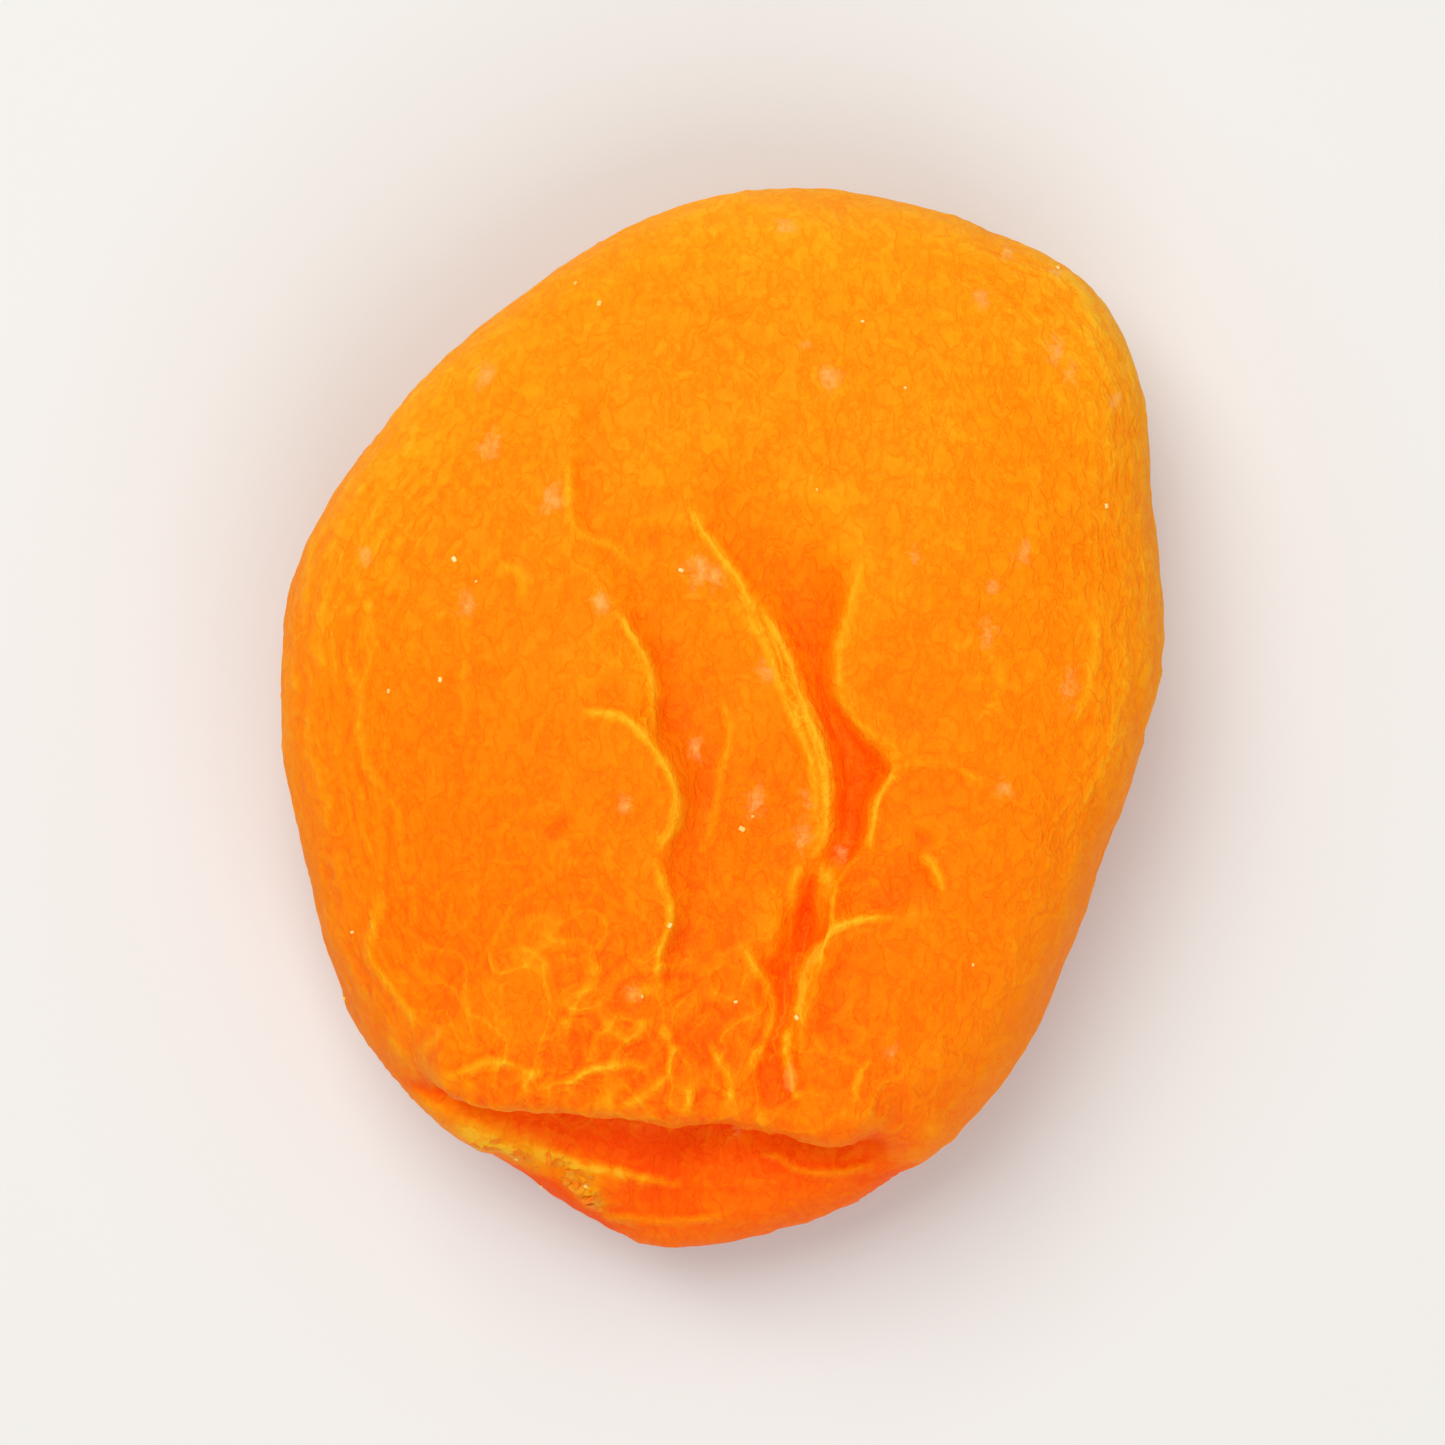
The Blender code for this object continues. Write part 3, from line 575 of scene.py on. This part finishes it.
# painted shade: the upper lip's roll, where it faces down and forward, is painted redder
lip_roll = np.exp(-(((above_lip - 0.1) / 0.45) ** 2)) * ease((skin[:, 2] - 5) / 1.5) * ease(-2 * facing[:, 1])
lip_roll *= ease((skin[:, 0] - LIP_LEFT) / 2) * ease((LIP_RIGHT - skin[:, 0]) / 3)
print("the mouth covers", int((mouth > 0.5).sum()), "corners")

# %% Write the marks on the mesh
FINE_SPAN = 0.16        # mm between the highest wrinkle and the deepest that the marks tell apart
DEEP_SPAN = 1.6         # mm, the same for folds

blush = 0.5 + 0.5 * soft_noise(skin, 7.0, 3.9)
marks = {
    "fine_hollow": np.clip(0.5 + fine_hollow / FINE_SPAN, 0, 1),
    "deep_hollow": np.clip(0.5 + deep_hollow / DEEP_SPAN, 0, 1),
    "crest": crest,
    "crest_gap": crest_gap,
    "bank_fold": bank_fold,
    "bank_gap": bank_gap,
    "flank": up * np.maximum(left_flank, right_flank),
    "flank_gap": flank_gap,
    "curl": curl,
    "valley": valley,
    "rim_highlight": rim_highlight,
    "curls": up * near_mouth,
    "painted_sheen": painted_sheen,
    "mouth": mouth,
    "lower_lip": lower_lip,
    "lip_roll": lip_roll,
    "shade_below_tear": shade_below_tear,
    "dry_and_lit_patch": dry_and_lit_patch,
    "blush": blush,
}
for name, values in marks.items():
    mark = flesh.data.attributes.new(name, "FLOAT", "POINT")
    mark.data.foreach_set("value", values.astype(np.float32))
    print(name, "averages", round(float(values.mean()), 3))

# %% [markdown]
# ## The flesh's finish
# Dried apricot flesh is waxy and lets light in a little way, so shaded folds glow instead of going grey. Its
# skin has a fine velvety grain with short fibres in it. A photo texture would fix one fruit's markings, so the
# grain is a node group made of noise, and the flesh, the torn shreds and the sugar all use it.

# %% Colours, written as they look on screen
def paint(red, green, blue):
    """The shader's linear colour for a colour read off a screen, from 0 to 255."""
    parts = [c / 255 for c in (red, green, blue)]
    return (*((c / 12.92 if c <= 0.04045 else ((c + 0.055) / 1.055) ** 2.4) for c in parts), 1)


FLESH_TONES = [         # from the yellow of a painted highlight on crests to the red of painted shade in the deepest folds
    (0.00, paint(255, 176, 30)), (0.20, paint(255, 155, 11)), (0.42, paint(255, 134, 2)),
    (0.62, paint(255, 118, 0)), (0.80, paint(255, 102, 0)), (1.00, paint(253, 84, 0)),
]
# the colour of the painted sheen, a pale pinkish highlight
PAINTED_SHEEN_TONE = paint(255, 174, 92)
print(len(FLESH_TONES), "tones")

# %% Small helpers for shader nodes
def link(tree, source, target):
    tree.links.new(source, target)


def new_noise(tree, vector, scale, detail, roughness, distortion=0.0):
    """Noise from 0 to 1; a scale of 1000 gives lumps about a millimetre apart."""
    node = tree.nodes.new("ShaderNodeTexNoise")
    node.inputs["Scale"].default_value = scale
    node.inputs["Detail"].default_value = detail
    node.inputs["Roughness"].default_value = roughness
    node.inputs["Distortion"].default_value = distortion
    link(tree, vector, node.inputs["Vector"])
    return node.outputs["Fac"]


def new_math(tree, operation, first, second, third=None):
    node = tree.nodes.new("ShaderNodeMath")
    node.operation = operation
    for socket, value in zip(node.inputs, (first, second, third)):
        if value is None:
            continue
        if isinstance(value, (int, float)):
            socket.default_value = value
        else:
            link(tree, value, socket)
    return node.outputs["Value"]


def stretched(tree, vector, scale):
    node = tree.nodes.new("ShaderNodeMapping")
    node.inputs["Scale"].default_value = scale
    link(tree, vector, node.inputs["Vector"])
    return node.outputs["Vector"]


def zero_lines(tree, noise_out, sharpness):
    """Thin lines where smooth noise crosses its middle value."""
    centred = new_math(tree, "SUBTRACT", noise_out, 0.5)
    size = new_math(tree, "ABSOLUTE", centred, 0.0)
    falling = new_math(tree, "MULTIPLY_ADD", size, -sharpness, 1.0)
    return new_math(tree, "MAXIMUM", falling, 0.0)


print("node helpers ready")

# %% A node group for the skin's grain
GRAIN_STRETCH = (1.2, 0.8, 1.0)     # the grain is longer along the fruit than across it
FINE_SHARE = 0.66       # of the mottle; the rest is the wide kind

grain_group = bpy.data.node_groups.new("skin_grain", "ShaderNodeTree")
for name, direction, kind in (
    ("Vector", "INPUT", "NodeSocketVector"),
    ("Mottle", "OUTPUT", "NodeSocketFloat"),
    ("Threads", "OUTPUT", "NodeSocketFloat"),
    ("Creases", "OUTPUT", "NodeSocketFloat"),
    ("Relief", "OUTPUT", "NodeSocketFloat"),
):
    grain_group.interface.new_socket(name=name, in_out=direction, socket_type=kind)
group_in = grain_group.nodes.new("NodeGroupInput")
group_out = grain_group.nodes.new("NodeGroupOutput")
place = stretched(grain_group, group_in.outputs["Vector"], GRAIN_STRETCH)
mottle_wide = new_noise(grain_group, place, scale=1300, detail=3, roughness=0.6, distortion=0.5)
mottle_fine = new_noise(grain_group, place, scale=4200, detail=3, roughness=0.65)
wide_part = new_math(grain_group, "MULTIPLY", mottle_wide, 1 - FINE_SHARE)
mottle = new_math(grain_group, "MULTIPLY_ADD", mottle_fine, FINE_SHARE, wide_part)
threads = new_noise(grain_group, place, scale=900, detail=2, roughness=0.5, distortion=0.5)
threads = zero_lines(grain_group, threads, sharpness=16)
creases = new_noise(grain_group, place, scale=1300, detail=3, roughness=0.55, distortion=0.4)
creases = zero_lines(grain_group, creases, sharpness=14)
grain_relief = new_math(grain_group, "MULTIPLY", mottle_fine, 0.8)
grain_relief = new_math(grain_group, "MULTIPLY_ADD", creases, -0.35, grain_relief)
for name, output in (("Mottle", mottle), ("Threads", threads), ("Creases", creases), ("Relief", grain_relief)):
    link(grain_group, output, group_out.inputs[name])
print("the grain group has", len(grain_group.nodes), "nodes")

# %% Helpers that every finish uses
def new_material(name):
    """A material with the skin's grain in it, and the nodes that the next steps need."""
    material = bpy.data.materials.new(name)
    material.use_nodes = True
    tree = material.node_tree
    coordinates = tree.nodes.new("ShaderNodeTexCoord").outputs["Object"]
    grain = tree.nodes.new("ShaderNodeGroup")
    grain.node_tree = grain_group
    link(tree, coordinates, grain.inputs["Vector"])
    return material, tree, tree.nodes["Principled BSDF"], coordinates, grain


def read_mark(tree, name):
    node = tree.nodes.new("ShaderNodeAttribute")
    node.attribute_name = name
    return node.outputs["Fac"]


def tone_ramp(tree, factor, tones):
    node = tree.nodes.new("ShaderNodeValToRGB")
    ramp = node.color_ramp
    while len(ramp.elements) < len(tones):
        ramp.elements.new(0.5)
    for element, (position, colour) in zip(ramp.elements, tones):
        element.position = position
        element.color = colour
    link(tree, factor, node.inputs["Fac"])
    return node.outputs["Color"]


def thin_line(tree, gap, half_width):
    """1 where a distance in mm is nothing, and 0 from half_width on."""
    size = new_math(tree, "ABSOLUTE", gap, 0.0)
    return new_math(tree, "MAXIMUM", new_math(tree, "MULTIPLY_ADD", size, -1 / half_width, 1.0), 0.0)


def add_tone(tree, tone, source, amount, average=0.0):
    """Moves the tone by amount times how far the source is from its average."""
    scaled = new_math(tree, "MULTIPLY_ADD", source, amount, -amount * average)
    return new_math(tree, "ADD", tone, scaled)


def add_bump(tree, shader, relief, strength, depth):
    """Lights the surface as if the relief stood up by depth, in m."""
    bump = tree.nodes.new("ShaderNodeBump")
    bump.inputs["Strength"].default_value = strength
    bump.inputs["Distance"].default_value = depth
    link(tree, relief, bump.inputs["Height"])
    link(tree, bump.outputs["Normal"], shader.inputs["Normal"])


def let_light_in(shader, weight, by_colour, reach):
    """Light spreads under the surface by reach, in m, times a share for red, green and blue."""
    shader.inputs["Subsurface Weight"].default_value = weight
    shader.inputs["Subsurface Radius"].default_value = by_colour
    shader.inputs["Subsurface Scale"].default_value = reach


def give_material(piece, material):
    piece.data.materials.clear()
    piece.data.materials.append(material)


print("finish helpers ready")

# %% Lines on the flesh
CREST_HALF = 0.26       # mm, half the width of the painted highlight along a crest
SHADE_OFF = 0.38        # mm from a crest to the painted shadow line beside it
SHADE_HALF = 0.15       # mm, half the width of that line
BANK_PITCH = 0.34       # mm between the lines along the valley's left bank
CURL_HALF = 0.09        # half the width of the painted highlight along a curl, in the noise that draws it
CURL_SHADE_OFF = 0.24   # from a curl to the painted shadow line beside it, in the same noise
CURL_SHADE_HALF = 0.10  # and half the width of that line

flesh_paint, tree, shader, coordinates, grain = new_material("apricot_flesh")
breaks = new_noise(tree, coordinates, scale=1500, detail=2, roughness=0.6)
uneven = new_math(tree, "MULTIPLY_ADD", breaks, -2.0, 2.0)
uneven_gap = new_math(tree, "MULTIPLY", read_mark(tree, "crest_gap"), uneven)
# painted highlight: a thin yellow line along each crest, and a painted shadow line beside it
crest_line = new_math(tree, "MULTIPLY", thin_line(tree, uneven_gap, CREST_HALF), read_mark(tree, "crest"))
beside_crest = new_math(tree, "ADD", new_math(tree, "ABSOLUTE", uneven_gap, 0.0), -SHADE_OFF)
crest_shadow = new_math(tree, "MULTIPLY", thin_line(tree, beside_crest, SHADE_HALF), read_mark(tree, "crest"))
wander = new_noise(tree, coordinates, scale=520, detail=2, roughness=0.5)


def stripes(tree, gap_name, mask_name, pitch):
    """Broken lines, pitch mm apart, across a distance that the mesh carries: 1 on them, -1 between."""
    strayed = new_math(tree, "MULTIPLY_ADD", wander, 0.7, read_mark(tree, gap_name))
    wave = new_math(tree, "SINE", new_math(tree, "MULTIPLY", strayed, 2 * math.pi / pitch), 0.0)
    narrow_wave = new_math(tree, "MULTIPLY", new_math(tree, "MULTIPLY", wave, wave), wave)
    broken = new_math(tree, "MAXIMUM", new_math(tree, "MULTIPLY_ADD", breaks, 4.0, -1.4), 0.0)
    broken_wave = new_math(tree, "MULTIPLY", narrow_wave, new_math(tree, "MINIMUM", broken, 1.0))
    return new_math(tree, "MULTIPLY", broken_wave, read_mark(tree, mask_name))


bank_lines = stripes(tree, "bank_gap", "bank_fold", BANK_PITCH)
flank_threads = stripes(tree, "flank_gap", "flank", FLANK_PITCH)
curl_threads = new_math(tree, "MULTIPLY", grain.outputs["Threads"], read_mark(tree, "curls"))
strayed_curl = new_math(tree, "MULTIPLY_ADD", breaks, 0.12, read_mark(tree, "curl"))
beside_curl = new_math(tree, "ADD", strayed_curl, -CURL_SHADE_OFF)
# painted highlight along each curl, and a painted shadow line beside it
curl_lines = new_math(tree, "MULTIPLY", thin_line(tree, strayed_curl, CURL_HALF), read_mark(tree, "curls"))
curl_shade = new_math(tree, "MULTIPLY", thin_line(tree, beside_curl, CURL_SHADE_HALF), read_mark(tree, "curls"))

streak_place = stretched(tree, coordinates, (0.35, 1.6, 1.6))
streaks = new_noise(tree, streak_place, scale=1500, detail=3, roughness=0.6)
streaks = new_math(tree, "ADD", streaks, -0.5)
lip_streaks = new_math(tree, "MULTIPLY", streaks, read_mark(tree, "lower_lip"))
print("lines drawn with", len(tree.nodes), "nodes")

# %% [markdown]
# ## One tone, many causes
# The whole flesh takes its colour from one ramp, and each mark or pattern moves it toward the yellow end or
# toward the deep red one, many of them as painted highlight or painted shade. A mix node for each would work
# too, but the last one would then win. Where a crest's painted highlight runs through a hollow's painted shade,
# the colour has to settle between the two, and adding does that.

# %% Add up the tone
BASE_TONE = 0.385
YELLOWEST = 0.012       # m toward the far end, past which the painted light gradient turns the flesh no yellower
MARK_TONES = {          # how far each mark moves the tone, and the value at which it doesn't
    # painted shade: hollows and the valley go redder; painted light: the rims and the mouth go paler
    "fine_hollow": (0.30, 0.5), "valley": (0.09, 0.0), "rim_highlight": (-0.32, 0.0), "mouth": (-0.28, 0.0),
    # painted shade: the lip's roll and the underside below the tear go redder; the patches by the tear go
    # paler, partly a painted highlight
    "lower_lip": (0.57, 0.0), "lip_roll": (0.20, 0.0), "dry_and_lit_patch": (-0.58, 0.0), "shade_below_tear": (0.40, 0.0),
    "blush": (0.11, 0.5),
}
split = tree.nodes.new("ShaderNodeSeparateXYZ")
link(tree, coordinates, split.inputs["Vector"])
toward_far_end = new_math(tree, "MINIMUM", split.outputs["Y"], YELLOWEST)
# painted shade and highlight: deep hollows turn redder and rounded rolls yellower
tone = new_math(tree, "MULTIPLY_ADD", read_mark(tree, "deep_hollow"), 0.25, BASE_TONE)
for name, (amount, average) in MARK_TONES.items():
    tone = add_tone(tree, tone, read_mark(tree, name), amount, average)
patterns = (            # the same for what the shader draws
    # the fine creases are painted redder, a painted shade
    (lip_streaks, 0.28, 0.0), (grain.outputs["Mottle"], 0.46, 0.5), (grain.outputs["Creases"], 0.11, 0.2),
    # painted highlight along the curls and crests, and painted shadow lines beside them
    (curl_threads, -0.14, 0.0), (curl_lines, -0.20, 0.0), (curl_shade, 0.12, 0.0), (crest_line, -0.34, 0.0),
    (crest_shadow, 0.12, 0.0), (bank_lines, -0.15, 0.0), (flank_threads, -0.13, 0.0),
    # painted light: the flesh is painted yellower toward the far end and toward the right
    (toward_far_end, -13.0, 0.0), (split.outputs["X"], -1.5, 0.0),
)
for source, amount, average in patterns:
    tone = add_tone(tree, tone, source, amount, average)
flesh_colour = tone_ramp(tree, tone, FLESH_TONES)
print("the tone adds up", len(MARK_TONES), "marks and", len(patterns), "patterns")

# %% Lay the painted sheen over it, and finish the flesh
PAINTED_SHEEN_STRENGTH = 0.85

sheen_breaks = new_noise(tree, coordinates, scale=1700, detail=4, roughness=0.7, distortion=0.4)
sheen_edge = new_math(tree, "MULTIPLY_ADD", sheen_breaks, 3.6, -2.2)
sheen_mask = new_math(tree, "ADD", read_mark(tree, "painted_sheen"), sheen_edge)
sheen_there = new_math(tree, "MULTIPLY", new_math(tree, "MAXIMUM", sheen_mask, 0.0), read_mark(tree, "painted_sheen"))
sheen_amount = new_math(tree, "MULTIPLY", sheen_there, PAINTED_SHEEN_STRENGTH)
# painted highlight: the patches of sheen are mixed into the colour, and are made glossier below
sheen_mix = tree.nodes.new("ShaderNodeMix")
sheen_mix.data_type = "RGBA"
sheen_factor, sheen_under, sheen_colour = (sheen_mix.inputs[k] for k in (0, 6, 7))
link(tree, sheen_amount, sheen_factor)
link(tree, flesh_colour, sheen_under)
sheen_colour.default_value = PAINTED_SHEEN_TONE
link(tree, sheen_mix.outputs[2], shader.inputs["Base Color"])

roughness = new_math(tree, "MULTIPLY_ADD", grain.outputs["Mottle"], 0.25, 0.42)
roughness = new_math(tree, "MULTIPLY_ADD", sheen_amount, -0.2, roughness)
link(tree, roughness, shader.inputs["Roughness"])
bumps = grain.outputs["Relief"]
for source, share in (
    (crest_line, 0.5), (bank_lines, 0.4), (flank_threads, 0.35), (curl_threads, 0.3), (curl_lines, 0.4),
):
    bumps = new_math(tree, "MULTIPLY_ADD", source, share, bumps)
add_bump(tree, shader, bumps, strength=0.7, depth=0.00010)
shader.inputs["Specular IOR Level"].default_value = 0.04
let_light_in(shader, weight=0.35, by_colour=(1.0, 0.30, 0.03), reach=0.0010)
give_material(flesh, flesh_paint)
print("the flesh material has", len(tree.nodes), "nodes")

# %% [markdown]
# ## Torn shreds on the lower lip
# The stone was pushed out through the mouth, and the lip tore. Its edge dried into short yellow shreds. Hair
# strands could stand for them, but they are flat and ragged, so one shred is pulled out of a small plane,
# edge by edge, and copied along the tear.

# %% Model one shred
import random

SHRED_WIDTH = 0.30      # mm
SHRED_THICKNESS = 0.05  # mm
SHRED_STEPS = [         # forward and up in mm, and how much narrower
    (0.07, 0.00, 1.15), (0.08, -0.02, 1.05), (0.08, -0.03, 0.80), (0.06, -0.05, 0.70), (0.04, -0.05, 0.6),
]
bpy.ops.object.select_all(action="DESELECT")
bpy.ops.mesh.primitive_plane_add(size=SHRED_WIDTH * MM, location=(0, 0, 0))
shred = bpy.context.object
for corner in shred.data.vertices:
    corner.select = corner.co.y > 0
for edge in shred.data.edges:
    edge.select = all(shred.data.vertices[v].select for v in edge.vertices)
for face in shred.data.polygons:
    face.select = False
bpy.ops.object.mode_set(mode="EDIT")
bpy.ops.mesh.select_mode(type="EDGE")
for forward, upward, narrower in SHRED_STEPS:
    bpy.ops.mesh.extrude_region_move(TRANSFORM_OT_translate={"value": (0, forward * MM, upward * MM)})
    bpy.ops.transform.resize(value=(narrower, 1, 1), center_override=(0, 0, 0))
bpy.ops.object.mode_set(mode="OBJECT")
thickness = shred.modifiers.new("thickness", "SOLIDIFY")
thickness.thickness = SHRED_THICKNESS * MM
thickness.offset = 0
bpy.ops.object.modifier_apply(modifier="thickness")
rounding = shred.modifiers.new("rounding", "SUBSURF")
rounding.levels = 1
rounding.render_levels = 1
bpy.ops.object.modifier_apply(modifier="rounding")
bpy.ops.object.shade_smooth()
print("one shred has", len(shred.data.polygons), "faces and is", round(shred.dimensions.y / MM, 2), "mm long")

# %% Copy it along the tear
from mathutils import Matrix

TEAR = [                # x and y in mm, and how many shreds start near there
    (-9.2, -15.9, 3), (-8.4, -16.1, 5), (-7.7, -16.3, 8), (-7.1, -16.5, 4), (-6.3, -16.6, 3),
    (-5.6, -16.9, 6), (-5.2, -17.3, 10), (-4.9, -17.8, 8), (-4.6, -18.2, 4), (-4.0, -18.7, 2),
]
SHRED_SEED = 11
SHRED_HEADING = -115    # degrees, seen from above: down and a little to the left
SHRED_ROOT = 0.02       # mm that a shred starts below the skin
bpy.context.view_layer.update()
draw = random.Random(SHRED_SEED)


def touch_down(x, y):
    """Where a straight drop on the fruit at x, y in mm lands, and the way the skin faces there."""
    found, place, normal, face = flesh.ray_cast(Vector((x * MM, y * MM, 0.03)), Vector((0, 0, -1)))
    return (place, normal) if found else None


def lay_on(piece, place, normal, heading, lift, scale):
    """Lays a piece on the skin: its Y axis runs along the heading and its Z axis out of the skin."""
    forward = Vector((math.cos(heading), math.sin(heading), 0))
    forward = (forward - normal * forward.dot(normal)).normalized()
    forward = forward * math.cos(lift) + normal * math.sin(lift)
    across = forward.cross(normal).normalized()
    out = across.cross(forward).normalized()
    turned = Matrix((across, forward, out)).transposed().to_4x4()
    piece.matrix_world = Matrix.Translation(place) @ turned @ Matrix.Diagonal((*scale, 1))


def join_pieces(pieces, name):
    """Makes the pieces one, unturned and unscaled, with its place in its mesh."""
    bpy.ops.object.select_all(action="DESELECT")
    for piece in pieces:
        piece.select_set(True)
    bpy.context.view_layer.objects.active = pieces[0]
    bpy.ops.object.join()
    bpy.ops.object.transform_apply(location=True, rotation=True, scale=True)
    joined = bpy.context.object
    joined.name = joined.data.name = name
    return joined


def copy_of(piece):
    twin = piece.copy()
    twin.data = piece.data.copy()
    bpy.context.scene.collection.objects.link(twin)
    return twin


shreds = []
for x, y, count in TEAR:
    for _ in range(count):
        landed = touch_down(x + draw.gauss(0.15, 0.2), y + draw.gauss(0.15, 0.15))
        if landed is None:
            continue
        place, normal = landed
        heading = math.radians(draw.gauss(SHRED_HEADING, 45))
        size = (draw.uniform(0.4, 1.5), draw.uniform(0.5, 1.3), draw.uniform(0.8, 1.8))
        lift = math.radians(draw.uniform(-6, 14))
        twin = copy_of(shred)
        lay_on(twin, place - normal * SHRED_ROOT * MM, normal, heading, lift, size)
        shreds.append(twin)
bpy.data.objects.remove(shred)
torn_shreds = join_pieces(shreds, "torn_shreds")
print(len(shreds), "shreds along the tear")

# %% The shreds' finish
SHRED_TONES = [(0.3, paint(255, 108, 4)), (0.5, paint(255, 134, 10)), (0.7, paint(255, 160, 26))]

shred_paint, tree, shader, coordinates, grain = new_material("torn_flesh")
shred_tone = new_noise(tree, coordinates, scale=2200, detail=3, roughness=0.6)
link(tree, tone_ramp(tree, shred_tone, SHRED_TONES), shader.inputs["Base Color"])
link(tree, new_math(tree, "MULTIPLY_ADD", grain.outputs["Mottle"], 0.3, 0.3), shader.inputs["Roughness"])
add_bump(tree, shader, grain.outputs["Relief"], strength=0.5, depth=0.00004)
shader.inputs["Specular IOR Level"].default_value = 0.08
let_light_in(shader, weight=0.3, by_colour=(1.0, 0.5, 0.15), reach=0.0004)
give_material(torn_shreds, shred_paint)
print("shreds painted")

# %% [markdown]
# ## Grains of sugar
# A few pale specks sparkle on the skin. They are sugar that came out as the fruit dried, and sugar dries into
# blocky crystals. White dots in the paint would not sparkle, so each grain is a small bevelled block.

# %% Model one grain
GRAIN_SIZE = 0.15       # mm
GRAIN_BEVEL = 0.035     # mm

bpy.ops.object.select_all(action="DESELECT")
bpy.ops.mesh.primitive_cube_add(size=GRAIN_SIZE * MM, location=(0, 0, 0))
sugar = bpy.context.object
bpy.ops.object.mode_set(mode="EDIT")
bpy.ops.mesh.select_all(action="SELECT")
bpy.ops.transform.resize(value=(1.25, 0.9, 0.75), center_override=(0, 0, 0))
bpy.ops.mesh.bevel(offset=GRAIN_BEVEL * MM, segments=2, affect="EDGES")
bpy.ops.object.mode_set(mode="OBJECT")
print("one grain has", len(sugar.data.polygons), "faces")

# %% Scatter the grains
SEEN_GRAINS = [         # x, y in mm and relative size, on top
    (-9.7, 5.9, 1.2), (-1.5, 5.5, 1.0), (0.7, -3.85, 1.3), (-10.2, 1.55, 1.0), (-1.9, -7.3, 1.1),
    (2.7, -10.7, 1.1), (-4.5, 15.3, 1.2), (12.4, 16.8, 1.0), (14.0, 7.9, 1.0), (-8.9, 5.1, 0.6),
    (1.1, -3.4, 0.6), (-5.1, -17.3, 0.9), (-7.7, -16.3, 0.9), (6.6, 12.1, 0.6), (-13.6, -7.7, 0.8),
    (9.1, -8.8, 0.6), (3.4, 8.4, 0.6), (-2.9, -9.9, 0.7),
]
MORE_GRAINS = 22        # at random round the sides and underneath
GRAIN_SEED = 5
LOWEST_GRAIN = 0.6      # mm above the table

draw = random.Random(GRAIN_SEED)
spots = [(touch_down(x, y), size) for x, y, size in SEEN_GRAINS]
while len(spots) < len(SEEN_GRAINS) + MORE_GRAINS:
    away = Vector((draw.gauss(0, 1), draw.gauss(0, 1), draw.gauss(0, 0.5) - 0.5)).normalized()
    middle = Vector((0, 0, WIDEST_LEVEL * MM))
    found, place, normal, face = flesh.ray_cast(middle + away * 0.04, -away)
    if found and place.z > LOWEST_GRAIN * MM:
        spots.append(((place, normal), draw.uniform(0.5, 1.1)))
grains = []
for landed, size in spots:
    place, normal = landed
    twin = copy_of(sugar)
    lay_on(twin, place, normal, draw.uniform(0, 2 * math.pi), draw.uniform(-0.4, 0.4), (size, size, size))
    grains.append(twin)
bpy.data.objects.remove(sugar)
sugar_grains = join_pieces(grains, "sugar_grains")
print(len(grains), "grains")

# %% The grains' finish
SUGAR_TONES = [(0.3, paint(255, 196, 80)), (0.7, paint(255, 222, 140))]

sugar_paint, tree, shader, coordinates, grain = new_material("dried_sugar")
sugar_tone = new_noise(tree, coordinates, scale=900, detail=2, roughness=0.5)
link(tree, tone_ramp(tree, sugar_tone, SUGAR_TONES), shader.inputs["Base Color"])
link(tree, new_math(tree, "MULTIPLY_ADD", grain.outputs["Mottle"], 0.3, 0.1), shader.inputs["Roughness"])
shader.inputs["Specular IOR Level"].default_value = 0.4
let_light_in(shader, weight=0.4, by_colour=(1.0, 0.8, 0.5), reach=0.0003)
give_material(sugar_grains, sugar_paint)
print("grains painted")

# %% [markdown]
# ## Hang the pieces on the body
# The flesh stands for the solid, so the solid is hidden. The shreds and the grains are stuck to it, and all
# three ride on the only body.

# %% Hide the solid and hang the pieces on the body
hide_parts("dried_apricot")
for piece in (flesh, torn_shreds, sugar_grains):
    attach(piece, "root")
    print(piece.name, "rides on root,", len(piece.data.polygons), "faces")
